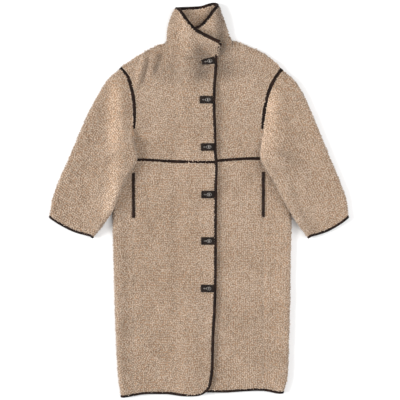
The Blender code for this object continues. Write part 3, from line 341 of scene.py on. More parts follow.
# Area lights that face the coat: each one's place, the length of its sides, and its power in watts
LIGHTS = {
    "overhead": ((1.2, 0.1, 3.6), 3.0, 80.0),
    "from_the_left": ((-7.0, -0.15, 4.8), 3.9, 790.0),
    "from_the_right": ((2.8, 0.6, 2.8), 1.8, 42.0),
}


def ease(share):
    """Zero at 0 and below, one at 1 and above, and smooth between."""
    share = np.clip(share, 0.0, 1.0)
    return share * share * (3.0 - 2.0 * share)


def hermite(knots, values, at):
    """A smooth curve through values at rising knots. Values may have several columns."""
    knots, at = np.asarray(knots, float), np.asarray(at, float)
    values = np.asarray(values, float).reshape(len(knots), -1)
    slopes = np.gradient(values, knots, axis=0)
    i = np.clip(np.searchsorted(knots, at, side="right") - 1, 0, len(knots) - 2)
    step = (knots[i + 1] - knots[i])[..., None]
    s = np.clip((at - knots[i])[..., None] / step, 0.0, 1.0)
    bend = (s**3 - 2 * s**2 + s) * step * slopes[i] + (s**3 - s**2) * step * slopes[i + 1]
    return (2 * s**3 - 3 * s**2 + 1) * values[i] + (3 * s**2 - 2 * s**3) * values[i + 1] + bend


def edge_x(table, y):
    rows = sorted(table)
    return hermite([r.y for r in rows], [r.x for r in rows], y)[..., 0]


def edge_y(table, x):
    return hermite([r.x for r in table], [r.y for r in table], x)[..., 0]


def lengths(places):
    """Each place's share of the way along a line."""
    steps = np.linalg.norm(np.diff(np.asarray(places, float), axis=0), axis=1)
    return np.r_[0.0, np.cumsum(steps)] / steps.sum()


def line(places, knots=None, corners=()):
    """A function of a share from 0 to 1 that runs through places, smoothly but for the numbered corners."""
    places = np.asarray(places, float)
    knots = lengths(places) if knots is None else np.asarray(knots, float)
    stops = [0, *corners, len(places) - 1]

    def at(share):
        share = np.asarray(share, float)
        found = np.zeros(share.shape + (places.shape[1],))
        for first, last in zip(stops, stops[1:]):
            run = hermite(knots[first:last + 1], places[first:last + 1], share)
            found = np.where((share >= knots[first] - 1e-9)[..., None], run, found)
        return found

    return at


def patch(top, bottom, outer, inner, s, q):
    """Plan places between four edges: s runs from the outer edge to the inner, and q from top to bottom."""
    s, q = np.broadcast_arrays(np.asarray(s, float), np.asarray(q, float))
    sc, qc = s[..., None], q[..., None]
    corners = ((1 - sc) * (1 - qc) * top(0.0) + sc * (1 - qc) * top(1.0)
               + (1 - sc) * qc * bottom(0.0) + sc * qc * bottom(1.0))
    return (1 - qc) * top(s) + qc * bottom(s) + (1 - sc) * outer(q) + sc * inner(q) - corners


def fanned(plan, shares, rows, corner, side):
    """A panel's plan with the columns below a corner of its neck leaning away, so that none cross."""
    near = np.clip(1.0 - ((shares - corner) / FAN_REACH) ** 2, 0.0, 1.0) ** 2
    plan[..., 0] += side * FAN * near[None, :] * (rows * (1.0 - rows) ** 3)[:, None]
    return plan


def fold_lift(folds, x, y):
    """How far a table's folds raise the cloth at a place."""
    lift = np.zeros(np.broadcast(x, y).shape)
    for f in folds:
        run_x, run_y = f.x1 - f.x0, f.y1 - f.y0
        span = math.hypot(run_x, run_y)
        along = ((x - f.x0) * run_x + (y - f.y0) * run_y) / span**2
        across = np.abs((x - f.x0) * run_y - (y - f.y0) * run_x) / span
        fade = ease(along / FOLD_FADE) * ease((1.0 - along) / FOLD_FADE)
        lift = lift + f.rise * fade * np.clip(1.0 - (across / f.reach) ** 2, 0.0, 1.0) ** 2
    return lift


def overlap_rise(x):
    return OVERLAP_STEP * ease((x - OVERLAP_FROM) / (OVERLAP_FULL - OVERLAP_FROM))


def front_mid(side, x):
    """Height of the middle of a smooth front's wall."""
    return FRONT_MID + (overlap_rise(x) if side == RIGHT else 0.0) + 0.0 * x


def shoulder_inside(side, x, y):
    """How far a place is inside the shoulder's edge, as a share of the rounding there."""
    places = SHOULDER[side]
    along = hermite([side * p.x for p in reversed(places)], [p.y for p in reversed(places)], side * x)[..., 0]
    near = ease((side * x - NECK_REACH) / NECK_FADE)
    return np.clip((along - y) * SHOULDER_SLOPE / EDGE_ROUND + (1.0 - near) * 2.0, 0.0, 1.0)


def divided(knots, length, step=STEP):
    """Knots with each gap between them divided into steps, on a line of a given length."""
    counts = np.maximum(1, np.ceil(np.diff(knots) * length / step)).astype(int)
    runs = [np.linspace(a, b, n, endpoint=False) for a, b, n in zip(knots, knots[1:], counts)]
    return np.r_[np.concatenate(runs), knots[-1]]


def relief(x, y, creases):
    """How far the cloth's soft waves and creases raise it."""
    lift = fold_lift(creases, x, y)
    for w in WAVES:
        turn = math.radians(w.degrees)
        along = x * math.cos(turn) + y * math.sin(turn)
        lift = lift + w.rise * np.sin(along * 2 * math.pi / w.length + w.phase)
    return lift


def grid(index, closed=False):
    """Quads of a grid of point numbers. A closed grid joins its last column to its first."""
    if closed:
        index = np.concatenate([index, index[:, :1]], axis=1)
    return np.stack([index[:-1, :-1], index[:-1, 1:], index[1:, 1:], index[1:, :-1]], axis=-1).reshape(-1, 4)


def numbered(points, first=0):
    rows, columns = points.shape[:2]
    return first + np.arange(rows * columns).reshape(rows, columns)


def unit(vectors):
    return vectors / np.linalg.norm(vectors, axis=-1, keepdims=True)


def all_facing(direction, path):
    """One direction for each place of a path."""
    return np.tile(np.asarray(direction, float), (len(path), 1))


def plan_outward(path):
    """Level unit vectors to the left of a path."""
    ahead = unit(np.gradient(np.asarray(path)[:, :2], axis=0))
    return np.stack([-ahead[:, 1], ahead[:, 0], np.zeros(len(ahead))], axis=1)


def with_height(plan, height):
    return np.concatenate([plan, np.broadcast_to(height, plan.shape[:-1])[..., None]], axis=-1)


def armhole(side, share, offset=0.0):
    """Places on the armhole seam from the shoulder down, moved towards the sleeve by an offset."""
    seam = line(ARMHOLE[side])
    share = np.asarray(share, float)
    ahead = unit(seam(np.clip(share + NUDGE, 0, 1)) - seam(np.clip(share - NUDGE, 0, 1)))
    outward = np.stack([ahead[..., 1], -ahead[..., 0]], axis=-1) * (-side)
    return seam(share) + offset * outward


def outer_edge(side, offset, last):
    """The outer edge of an upper panel: the armhole, the foot below it, and a last place."""
    places = np.concatenate([armhole(side, ARMHOLE_SHARES, offset), ARMHOLE_FOOT[side], [last]])
    return line(places, upper_rows())


def upper_rows():
    return np.r_[ARMHOLE_SHARES * ARMHOLE_PART, FOOT_KNOTS, 1.0]


def collar_mid(share, level):
    """The middle of the collar's wall. Share counts stations, and level is 0 at the neck and 1 at the rim."""
    share, level = np.broadcast_arrays(np.asarray(share, float), np.asarray(level, float))
    found = hermite(np.arange(len(COLLAR)), np.array(COLLAR), share).reshape(share.shape + (3, 3))
    v = level[..., None]
    return ((1 - v) * (1 - 2 * v) * found[..., 0, :] + 4 * v * (1 - v) * found[..., 1, :]
            + v * (2 * v - 1) * found[..., 2, :])


def neck_places(stations):
    """The neck seam's places between two of the collar's stations, a seam's width outside it."""
    share = np.arange(stations[0], stations[1] + 0.25, 0.5)
    neck, above = collar_mid(share, 0.0)[:, :2], collar_mid(share, JUST_ABOVE_NECK)[:, :2]
    down = neck - above
    return neck + SEAM * down / np.linalg.norm(down, axis=1, keepdims=True)


def front_edge(y):
    """The x where the right front's cloth ends and its binding starts."""
    return edge_x(FRONT_EDGE, y) - BINDING / 2 - SEAM


def inner_edge(side, y):
    """The x of a front's edge, on or under the other front."""
    return front_edge(y) if side == RIGHT else UNDERLAP_EDGE + 0.0 * y


def upper_front_plan(side):
    """The four edges of an upper front, and the shares of its top edge's places and of its neck's corner."""
    stations = OVER_STATIONS if side == RIGHT else UNDER_STATIONS
    neck = neck_places(stations)
    if side == RIGHT:
        neck = neck[::-1]
        neck[-1, 0] = front_edge(neck[-1, 1])
    else:
        neck = np.concatenate([neck, [(UNDERLAP_EDGE, neck[-1, 1])]])
    around = NECK_CORNER["front_" + SIDES[side]]
    start = armhole(side, 0.0, -ARMHOLE_PIPING / 2 - SEAM)
    places = np.concatenate([[start], SHOULDER[side][:-1], around, neck])
    corner = len(SHOULDER[side])
    top = line(places, corners=(corner,))
    gap = WAIST_PIPING / 2 + SEAM
    foot_x = SIDE_SEAM[side] - side * WAIST_FOOT_INSET
    foot = (foot_x, edge_y(WAIST[side], foot_x) + gap)
    outer = outer_edge(side, -ARMHOLE_PIPING / 2 - SEAM, foot)
    inner_end = inner_edge(side, UPPER_FRONT_FOOT)
    shares = lengths(places)

    def bottom(share):
        x = foot_x + (inner_end - foot_x) * np.asarray(share, float)
        return np.stack([x, edge_y(WAIST[side], x) + gap], axis=-1)

    def inner(share):
        y = neck[-1, 1] + (bottom(1.0)[1] - neck[-1, 1]) * np.asarray(share, float)
        return np.stack([inner_edge(side, y), y], axis=-1)

    return (top, bottom, outer, inner), shares, shares[corner + 1]


def side_seam(side, y, inward):
    """The x of a side seam's edge, on the front's side or else the back's, let out for the pocket welt."""
    welt = WELTS[side]
    in_welt = (y < welt.top + SEAM) & (y > welt.bottom - SEAM)
    apart = np.where(in_welt, WELT / 2 + SEAM, SEAM / 2)
    return SIDE_SEAM[side] - side * apart * (1 if inward else -1)


def side_heights(side, top, bottom):
    """Heights of rows down the side seam, with a pair at each end of the pocket welt."""
    welt = WELTS[side]
    above, below = welt.top + SEAM, welt.bottom - SEAM
    return np.array([top, above + WELT_STEP, above - WELT_NOTCH, below + WELT_NOTCH, below - WELT_STEP,
                     *SIDE_HEIGHTS, bottom])


def lower_front_plan(side):
    """The four edges of a lower front, and the shares of its columns and rows."""
    gap = WAIST_PIPING / 2 + SEAM
    hem = RIGHT_HEM if side == RIGHT else LEFT_HEM
    seam_x = hem[0].x
    top_y = edge_y(WAIST[side], seam_x) - gap
    heights = side_heights(side, float(top_y), hem[0].y)
    rows = (top_y - heights) / (top_y - hem[0].y)
    places = [(side_seam(side, y, True), y) for y in heights]
    outer = line(places, rows, corners=tuple(range(1, len(rows) - 1)))
    bottom = line(hem)
    inner_top = inner_edge(side, LOWER_FRONT_HEAD)

    def top(share):
        x = seam_x + (inner_top - seam_x) * np.asarray(share, float)
        return np.stack([x, edge_y(WAIST[side], x) - gap], axis=-1)

    def inner(share):
        y = top(1.0)[1] + (hem[-1].y - top(1.0)[1]) * np.asarray(share, float)
        return np.stack([inner_edge(side, y), y], axis=-1)

    return (top, bottom, outer, inner), lengths(hem), rows


def front_heights(side, plan):
    """Heights of a front's outer and inner sheets."""
    x, y = plan[..., 0], plan[..., 1]
    lift = fold_lift(RIGHT_FRONT_FOLDS if side == RIGHT else LEFT_FRONT_FOLDS, x, y)
    middle = front_mid(side, x)
    top = middle + CLOTH / 2 + lift
    bottom = middle - CLOTH / 2 + np.maximum(lift, 0.0)
    inside = shoulder_inside(side, x, y)
    arc = np.sqrt(1.0 - (1.0 - inside) ** 2)
    low = CLOTH + SEAM
    bottom = low + (bottom - low) * inside
    top = low + SHOULDER_LIP + (top - low - SHOULDER_LIP) * arc
    return top, bottom


def front_binding_height(side, plan):
    """The middle of a front's wall, with its folds."""
    top, bottom = front_heights(side, plan)
    return (top + bottom) / 2


def piping_height(side, plan):
    """The middle of a piping that lies a little below a front's top, and clear of the back."""
    top = front_heights(side, plan)[0] - PIPING_SINK
    return np.maximum(top, CLOTH + SEAM + PIPING_DEPTH) - PIPING_DEPTH / 2


# Materials, with the scales of their noise, cells and waves in repeats to a metre
def socket_named(sockets, name):
    return next(s for s in sockets if s.name == name and s.enabled)


def add_node(tree, kind, inputs=None, **settings):
    """A node with its settings, and its inputs by name or number, each a value or another node's output."""
    node = tree.nodes.new(kind)
    for key, value in settings.items():
        setattr(node, key, value)
    for key, value in (inputs or {}).items():
        socket = node.inputs[key] if isinstance(key, int) else socket_named(node.inputs, key)
        if isinstance(value, bpy.types.NodeSocket):
            tree.links.new(value, socket)
        else:
            socket.default_value = value
    return node


def output(node, name=None):
    return node.outputs[0] if name is None else socket_named(node.outputs, name)


def calculate(tree, operation, first, second=0.0):
    return output(add_node(tree, "ShaderNodeMath", {0: first, 1: second}, operation=operation))


def new_finish(name, **values):
    """A material with constant values on the shader's own sockets, and its tree and shader."""
    made = bpy.data.materials.new(name)
    made.use_nodes = True
    shader = made.node_tree.nodes["Principled BSDF"]
    for key, value in values.items():
        shader.inputs[key.replace("_", " ")].default_value = value
    return made, made.node_tree, shader


def noise(tree, where, scale, detail=2.0, rough=0.5):
    values = {"Vector": where, "Scale": scale, "Detail": detail, "Roughness": rough}
    return output(add_node(tree, "ShaderNodeTexNoise", values))


def stretched(tree, value, low, high, to_low=0.0, to_high=1.0):
    """A value from low to high turned to one between two others, and held there outside them."""
    values = {"Value": value, "From Min": low, "From Max": high, "To Min": to_low, "To Max": to_high}
    return output(add_node(tree, "ShaderNodeMapRange", values))


def attribute(tree, name):
    return output(add_node(tree, "ShaderNodeAttribute", attribute_name=name), "Fac")


def two_colours(tree, factor, first, second):
    mixed = add_node(tree, "ShaderNodeMix", {"Factor": factor, "A": (*first, 1.0), "B": (*second, 1.0)},
                     data_type="RGBA")
    return output(mixed, "Result")


def times(tree, colour, other):
    """A colour multiplied by another one, or by a number."""
    mixed = add_node(tree, "ShaderNodeMix", {"Factor": 1.0, "A": colour, "B": other}, data_type="RGBA",
                     blend_type="MULTIPLY")
    return output(mixed, "Result")


def object_places(tree):
    return output(add_node(tree, "ShaderNodeTexCoord"), "Object")


def bumped(tree, shader, height, strength, distance):
    bump = add_node(tree, "ShaderNodeBump", {"Height": height, "Strength": strength, "Distance": distance})
    tree.links.new(output(bump), shader.inputs["Normal"])


def painted_shading_factor(tree):
    """Painted light and shade in strips: how much lighter or darker the pile's colour is made there, around
    1.
    """
    return calculate(tree, "ADD", attribute(tree, "painted_light_and_shade"), 1.0)


def fleece_colour(tree, places, tint_and_hollow_shade):
    """The fleece's colour at a place: tufts and wider patches of it, and a tint from 0 to 1, which on the
    ground also carries painted shade in the hollows.
    """
    patches = stretched(tree, noise(tree, places, scale=9.0, detail=3.0), low=0.3, high=0.7)
    tufts = stretched(tree, noise(tree, places, scale=150.0), low=0.34, high=0.66)
    mixed = calculate(tree, "MULTIPLY", tint_and_hollow_shade, TINT_SHARE)
    for part, share in ((tufts, TUFT_SHARE), (patches, 1.0 - TINT_SHARE - TUFT_SHARE)):
        mixed = calculate(tree, "ADD", mixed, calculate(tree, "MULTIPLY", part, share))
    return two_colours(tree, mixed, *PILE_COLOURS)


def pile_finish():
    """Nubs and curls: each with its own tint, painted shade towards its root and painted light on its crown,
    with fine fibres.
    """
    made, tree, shader = new_finish("fleece_pile", Roughness=0.9, Sheen_Weight=0.3, Sheen_Roughness=0.5,
                                    Specular_IOR_Level=0.2)
    places = object_places(tree)
    colour = fleece_colour(tree, places, attribute(tree, "tint_and_hollow_shade"))
    # Painted shade at the root and painted light at the crown of each nub and curl
    colour = times(tree, colour, two_colours(tree, attribute(tree, "rise"), *PILE_ROOT_SHADE_CROWN_LIGHT))
    # Painted light and shade in strips, lighter or darker
    tree.links.new(times(tree, colour, painted_shading_factor(tree)), shader.inputs["Base Color"])
    fibres = noise(tree, places, scale=520.0, detail=3.0, rough=0.65)
    bumped(tree, shader, fibres, strength=1.0, distance=0.0035)
    return made


def ground_finish():
    """The fleece between the nubs, and where none are grown: small curls by bump, with painted shade in the
    hollows between them.
    """
    made, tree, shader = new_finish("fleece_ground", Roughness=0.95, Sheen_Weight=0.2, Sheen_Roughness=0.5,
                                    Specular_IOR_Level=0.2)
    places = object_places(tree)
    stray = add_node(tree, "ShaderNodeTexNoise", {"Vector": places, "Scale": 130.0})
    bent = add_node(tree, "ShaderNodeVectorMath", {0: output(stray, "Color"), 1: (0.012,) * 3, 2: places},
                    operation="MULTIPLY_ADD")
    nubs = output(add_node(tree, "ShaderNodeTexVoronoi", {"Vector": output(bent), "Scale": 190.0},
                           feature="SMOOTH_F1"), "Distance")
    fibres = calculate(tree, "MULTIPLY", noise(tree, places, scale=700.0, detail=3.0, rough=0.7), 0.4)
    height = calculate(tree, "ADD", stretched(tree, nubs, 0.0, 0.8, to_low=1.0, to_high=0.0), fibres)
    # Painted shade: darker towards the edges of the bumped curls, in the hollows between them
    tint_and_hollow_shade = stretched(tree, nubs, 0.1, 0.75, to_low=0.7, to_high=0.0)
    crown = stretched(tree, nubs, 0.1, 0.8, to_low=1.0, to_high=0.0)
    colour = times(tree, fleece_colour(tree, places, tint_and_hollow_shade), two_colours(tree, crown, *GROUND_HOLLOW_SHADE))
    # Painted light and shade in strips, lighter or darker
    tree.links.new(times(tree, colour, painted_shading_factor(tree)), shader.inputs["Base Color"])
    bumped(tree, shader, height, strength=1.0, distance=0.003)
    return made


def leather_finish(name, colours, rough):
    """Grained leather: fine cells, worn a little lighter in streaks, and glossier where it is worn."""
    made, tree, shader = new_finish(name, Specular_IOR_Level=0.1)
    places = object_places(tree)
    worn = stretched(tree, noise(tree, places, scale=38.0, detail=4.0, rough=0.6), low=0.42, high=0.72)
    cells = output(add_node(tree, "ShaderNodeTexVoronoi", {"Vector": places, "Scale": 900.0}), "Distance")
    creases = noise(tree, places, scale=260.0, detail=3.0, rough=0.6)
    tree.links.new(two_colours(tree, worn, *colours), shader.inputs["Base Color"])
    tree.links.new(stretched(tree, worn, 0.0, 1.0, rough, rough - 0.1), shader.inputs["Roughness"])
    height = calculate(tree, "ADD", calculate(tree, "MULTIPLY", cells, 0.5), creases)
    bumped(tree, shader, height, strength=0.35, distance=0.0006)
    return made


def thread_finish():
    made, tree, shader = new_finish("thread", Roughness=0.7, Sheen_Weight=0.2)
    twist = add_node(tree, "ShaderNodeTexWave",
                     {"Vector": object_places(tree), "Scale": 600.0, "Distortion": 2.0})
    colour = two_colours(tree, output(twist, "Fac"), *THREAD_COLOURS)
    tree.links.new(colour, shader.inputs["Base Color"])
    return made


def gunmetal_finish():
    """Brushed dark metal, lighter where it is rubbed."""
    made, tree, shader = new_finish("gunmetal", Metallic=1.0)
    places = object_places(tree)
    rubbed = stretched(tree, noise(tree, places, scale=220.0, detail=3.0), low=0.35, high=0.7)
    rough = stretched(tree, noise(tree, places, scale=900.0), low=0.3, high=0.7, to_low=0.26, to_high=0.42)
    tree.links.new(two_colours(tree, rubbed, *GUNMETAL_COLOURS), shader.inputs["Base Color"])
    tree.links.new(rough, shader.inputs["Roughness"])
    return made


# Meshes
def linked(name, data):
    """A new object in the scene."""
    made = bpy.data.objects.new(name, data)
    bpy.context.scene.collection.objects.link(made)
    return made


def in_metres(points):
    """Places in metres from the middle of the coat's footprint."""
    return [tuple(p) for p in (np.asarray(points, float) - [*FOOTPRINT_MIDDLE, 0.0]) * MM]


def add_object(name, points, faces, finish, sharp=60):
    """A closed mesh object from points in millimetres, with its faces turned outwards.

    Edges that turn by more than sharp, in degrees, are shaded as sharp ones.
    """
    mesh = bpy.data.meshes.new(name)
    mesh.from_pydata(in_metres(points), [], [tuple(int(i) for i in face) for face in faces])
    tidy = bmesh.new()
    tidy.from_mesh(mesh)
    bmesh.ops.recalc_face_normals(tidy, faces=tidy.faces)
    if tidy.calc_volume(signed=True) < 0:
        bmesh.ops.reverse_faces(tidy, faces=tidy.faces)
    tidy.to_mesh(mesh)
    tidy.free()
    mesh.shade_smooth()
    mesh.set_sharp_from_angle(angle=math.radians(sharp))
    mesh.materials.append(finish)
    return linked(name, mesh)


def face_values(mesh, kind):
    """The centre or the normal of each face."""
    values = np.empty(len(mesh.polygons) * 3)
    mesh.polygons.foreach_get(kind, values)
    return values.reshape(-1, 3)


def add_wall(name, outer, inner, faces, finish, both_sides=False, hidden=None, painted_shading=()):
    """A closed wall between two sheets of the same points and faces. Its upward faces are marked for pile.

    Faces of the inner sheet grow pile only where both sides do, and hidden(x, y) says where none is grown.
    The last argument gives strips of painted light and shade, where the pile's colour is made lighter or
    darker.
    """
    outer, inner = np.reshape(outer, (-1, 3)), np.reshape(inner, (-1, 3))
    count = len(outer)
    edges = {(int(a), int(b)) for face in faces for a, b in zip(face, (*face[1:], face[0]))}
    rim = sorted((b, a, a + count, b + count) for a, b in edges if (b, a) not in edges)
    sheets = [tuple(f) for f in faces] + [tuple(reversed(f + count)) for f in faces]
    made = add_object(name, np.concatenate([outer, inner]), sheets + rim, finish)
    middles = face_values(made.data, "center") / MM + [*FOOTPRINT_MIDDLE, 0.0]
    number = np.arange(len(middles))
    grows = (number < len(faces)) | (number >= 2 * len(faces)) | both_sides
    grows &= (face_values(made.data, "normal")[:, 2] > LOWEST_PILE) & (middles[:, 2] > PILE_FROM_FLOOR)
    if hidden is not None:
        grows &= ~hidden(middles[:, 0], middles[:, 1])
    made.data.attributes.new("pile", "BOOLEAN", "FACE").data.foreach_set("value", grows)
    points = np.concatenate([outer, inner])
    # Painted light and shade in strips, as a share of the pile's colour at each point
    painted_light_and_shade = fold_lift(painted_shading, points[:, 0], points[:, 1])
    made.data.attributes.new("painted_light_and_shade", "FLOAT", "POINT").data.foreach_set("value", painted_light_and_shade)
    return made


def add_band(name, path, outward, upward, width, depth, finish, gap=SEAM, closed=False, proud=0.0):
    """A rounded leather band beside a path. Gap and width are measured outward from it.

    It is pressed a little into the pile beside it, may stand proud of its depth, and stays above the floor.
    """
    path = np.asarray(path, float)
    width = np.broadcast_to(np.asarray(width, float), len(path))[:, None, None] + BAND_SWELL
    gap = np.broadcast_to(np.asarray(gap, float), len(path))[:, None, None] - BAND_SWELL
    turn = np.linspace(0.0, 2 * math.pi, BAND_SIDES, endpoint=False) + math.pi / BAND_SIDES
    across = 0.5 + 0.5 * np.sign(np.cos(turn)) * np.abs(np.cos(turn)) ** BAND_SQUARE
    up = 0.5 * depth * np.sign(np.sin(turn)) * np.abs(np.sin(turn)) ** BAND_SQUARE
    up = up * np.where(up > 0.0, 1.0 + 2 * proud / depth, 1.0)
    points = (path[:, None] + outward[:, None] * (gap + across[None, :, None] * width)
              + upward[:, None] * up[None, :, None])
    points[..., 2] = np.maximum(points[..., 2], 0.0)
    index = numbered(points)
    ends = [] if closed else [tuple(index[0]), tuple(index[-1])]
    if closed:
        index = np.concatenate([index, index[:1]])
    faces = [tuple(f) for f in grid(index, closed=True)] + ends
    return add_object(name, points.reshape(-1, 3), faces, finish)


# Repeats by Geometry Nodes
def new_tree(name, inputs):
    """A Geometry Nodes tree with a geometry input and output, and named inputs of given kinds and values."""
    tree = bpy.data.node_groups.new(name, "GeometryNodeTree")
    tree.is_modifier = True
    tree.interface.new_socket("Geometry", in_out="INPUT", socket_type="NodeSocketGeometry")
    for label, (kind, value) in inputs.items():
        socket = tree.interface.new_socket(label, in_out="INPUT", socket_type="NodeSocket" + kind)
        if value is not None:
            socket.default_value = value
    tree.interface.new_socket("Geometry", in_out="OUTPUT", socket_type="NodeSocketGeometry")
    return tree, tree.nodes.new("NodeGroupInput")


def finished(tree, instances, start):
    """Ends a tree: instances are realized, and get their finish."""
    real = add_node(tree, "GeometryNodeRealizeInstances", {0: output(instances)})
    smooth = add_node(tree, "GeometryNodeSetShadeSmooth", {0: output(real)})
    painted = add_node(tree, "GeometryNodeSetMaterial",
                       {"Geometry": output(smooth), "Material": start.outputs["Finish"]})
    end = tree.nodes.new("NodeGroupOutput")
    tree.links.new(output(painted), end.inputs[0])


def random_value(tree, kind, low, high, seed):
    values = {"Min": low, "Max": high, "Seed": seed}
    return output(add_node(tree, "FunctionNodeRandomValue", values, data_type=kind), "Value")


def stored(tree, geometry, name, value, domain="POINT"):
    """Geometry that keeps a value under a name, on each point or instance."""
    values = {"Geometry": geometry, "Name": name, "Value": value}
    return output(add_node(tree, "GeometryNodeStoreNamedAttribute", values, data_type="FLOAT", domain=domain))


def curl_shape(tree, given):
    """A thin strand that bows out of the fleece and back. Its rise is 1 at the crown and 0 at its feet."""
    half = calculate(tree, "MULTIPLY", given["Length"], 0.5)
    foot = add_node(tree, "ShaderNodeCombineXYZ", {"X": calculate(tree, "MULTIPLY", half, -1.0)})
    crown = add_node(tree, "ShaderNodeCombineXYZ", {"Y": given["Bow"], "Z": given["Rise"]})
    other_foot = add_node(tree, "ShaderNodeCombineXYZ", {"X": half})
    bow = add_node(tree, "GeometryNodeCurveQuadraticBezier", {
        "Resolution": 3, "Start": output(foot), "Middle": output(crown), "End": output(other_foot)})
    along = output(add_node(tree, "GeometryNodeSplineParameter"), "Factor")
    rise = calculate(tree, "PINGPONG", calculate(tree, "MULTIPLY", along, 2.0), 1.0)
    section = add_node(tree, "GeometryNodeCurvePrimitiveCircle", {"Resolution": 3, "Radius": given["Strand"]})
    marked = stored(tree, output(bow), "rise", rise)
    return output(add_node(tree, "GeometryNodeCurveToMesh",
                           {"Curve": marked, "Profile Curve": output(section), "Fill Caps": True}))


def nub_shape(tree, given):
    """A soft oval nub. Its rise is 1 at the top and 0 where it meets the fleece."""
    ball = add_node(tree, "GeometryNodeMeshIcoSphere", {"Radius": given["Nub"], "Subdivisions": 1})
    place = add_node(tree, "GeometryNodeInputPosition")
    height = add_node(tree, "ShaderNodeSeparateXYZ", {0: output(place)})
    rise = stretched(tree, calculate(tree, "DIVIDE", output(height, "Z"), given["Nub"]), low=-0.2, high=0.9)
    return output(add_node(tree, "GeometryNodeTransform",
                           {"Geometry": stored(tree, output(ball), "rise", rise), "Scale": NUB_SCALE}))


def grown(tree, given, shape, spacing, seed):
    """A shape repeated on the faces marked for pile, each turned, tilted, sized and tinted at random."""
    marked = add_node(tree, "GeometryNodeInputNamedAttribute", {"Name": "pile"}, data_type="BOOLEAN")
    points = add_node(tree, "GeometryNodeDistributePointsOnFaces",
                      {"Mesh": given["Geometry"], "Selection": output(marked), "Distance Min": spacing,
                       "Density Max": MOST_CURLS, "Seed": calculate(tree, "ADD", given["Seed"], seed)},
                      distribute_method="POISSON")
    spread = add_node(tree, "ShaderNodeCombineXYZ", {"X": given["Tilt"], "Y": given["Tilt"], "Z": math.pi})
    opposite = add_node(tree, "ShaderNodeVectorMath", {0: output(spread), "Scale": -1.0}, operation="SCALE")
    turn = random_value(tree, "FLOAT_VECTOR", output(opposite), output(spread), given["Seed"])
    turned_by = add_node(tree, "FunctionNodeEulerToRotation", {"Euler": turn})
    facing = add_node(tree, "FunctionNodeRotateRotation",
                      {"Rotation": output(points, "Rotation"), "Rotate By": output(turned_by)},
                      rotation_space="LOCAL")
    repeats = add_node(tree, "GeometryNodeInstanceOnPoints",
                       {"Points": output(points, "Points"), "Instance": shape, "Rotation": output(facing),
                        "Scale": random_value(tree, "FLOAT", *PILE_SIZES, SIZE_SEED)})
    tint_and_hollow_shade = random_value(tree, "FLOAT", 0.0, 1.0, seed + TINT_SEED)
    return stored(tree, output(repeats), "tint_and_hollow_shade", tint_and_hollow_shade, domain="INSTANCE")


def pile_tree():
    """The fleece's pile: soft nubs side by side, with thin curls over them."""
    tree, start = new_tree("grow_pile", {
        "Nub spacing": ("Float", 0.005), "Nub": ("Float", 0.003), "Curl spacing": ("Float", 0.006),
        "Length": ("Float", 0.006), "Bow": ("Float", 0.003), "Rise": ("Float", 0.003),
        "Strand": ("Float", 0.001), "Tilt": ("Float", 0.4), "Seed": ("Int", 1), "Finish": ("Material", None)})
    given = start.outputs
    nubs = grown(tree, given, nub_shape(tree, given), given["Nub spacing"], NUB_SEED)
    curls = grown(tree, given, curl_shape(tree, given), given["Curl spacing"], CURL_SEED)
    both = add_node(tree, "GeometryNodeJoinGeometry")
    tree.links.new(nubs, both.inputs[0])
    tree.links.new(curls, both.inputs[0])
    finished(tree, both, start)
    return tree


def stitches_tree():
    """Small stitches at an even pitch along a line, flat on a surface that faces the line's own up."""
    tree, start = new_tree("sew_stitches", {
        "Pitch": ("Float", 0.0046), "Length": ("Float", 0.003), "Width": ("Float", 0.0008),
        "Finish": ("Material", None)})
    given = start.outputs
    path = add_node(tree, "GeometryNodeMeshToCurve", {"Mesh": given["Geometry"]})
    spots = add_node(tree, "GeometryNodeResampleCurve", {"Curve": output(path), "Length": given["Pitch"]},
                     mode="LENGTH")
    stitch = add_node(tree, "GeometryNodeMeshUVSphere", {"Segments": 6, "Rings": 4, "Radius": 0.5})
    size = add_node(tree, "ShaderNodeCombineXYZ",
                    {"X": given["Length"], "Y": given["Width"], "Z": given["Width"]})
    stitch = add_node(tree, "GeometryNodeTransform", {"Geometry": output(stitch), "Scale": output(size)})
    up = add_node(tree, "GeometryNodeInputNamedAttribute", {"Name": "up"}, data_type="FLOAT_VECTOR")
    standing = add_node(tree, "FunctionNodeAlignRotationToVector", {"Vector": output(up)}, axis="Z")
    ahead = add_node(tree, "GeometryNodeInputTangent")
    turn = add_node(tree, "FunctionNodeAlignRotationToVector",
                    {"Rotation": output(standing), "Vector": output(ahead)}, axis="X", pivot_axis="Z")
    row = add_node(tree, "GeometryNodeInstanceOnPoints",
                   {"Points": output(spots), "Instance": output(stitch), "Rotation": output(turn)})
    finished(tree, row, start)
    return tree


def made_by(tree, source, name, values):
    """A new plain mesh object: what a tree makes of a source object, with the tree's inputs set by name."""
    modifier = source.modifiers.new("repeat", "NODES")
    modifier.node_group = tree
    for item in tree.interface.items_tree:
        if item.item_type == "SOCKET" and item.in_out == "INPUT" and item.name in values:
            modifier[item.identifier] = values[item.name]
    result = source.evaluated_get(bpy.context.evaluated_depsgraph_get())
    mesh = bpy.data.meshes.new_from_object(result)
    mesh.name = name
    source.modifiers.remove(modifier)
    return linked(name, mesh)


def add_pile(name, shell, seed):
    values = {"Nub spacing": NUB_SPACING * MM, "Nub": NUB_RADIUS * MM, "Curl spacing": CURL_SPACING * MM,
              "Length": CURL_LENGTH * MM, "Bow": CURL_BOW * MM, "Rise": CURL_RISE * MM,
              "Strand": STRAND_RADIUS * MM, "Tilt": PILE_TILT, "Seed": seed, "Finish": finishes["pile"]}
    return made_by(trees["pile"], shell, name, values)


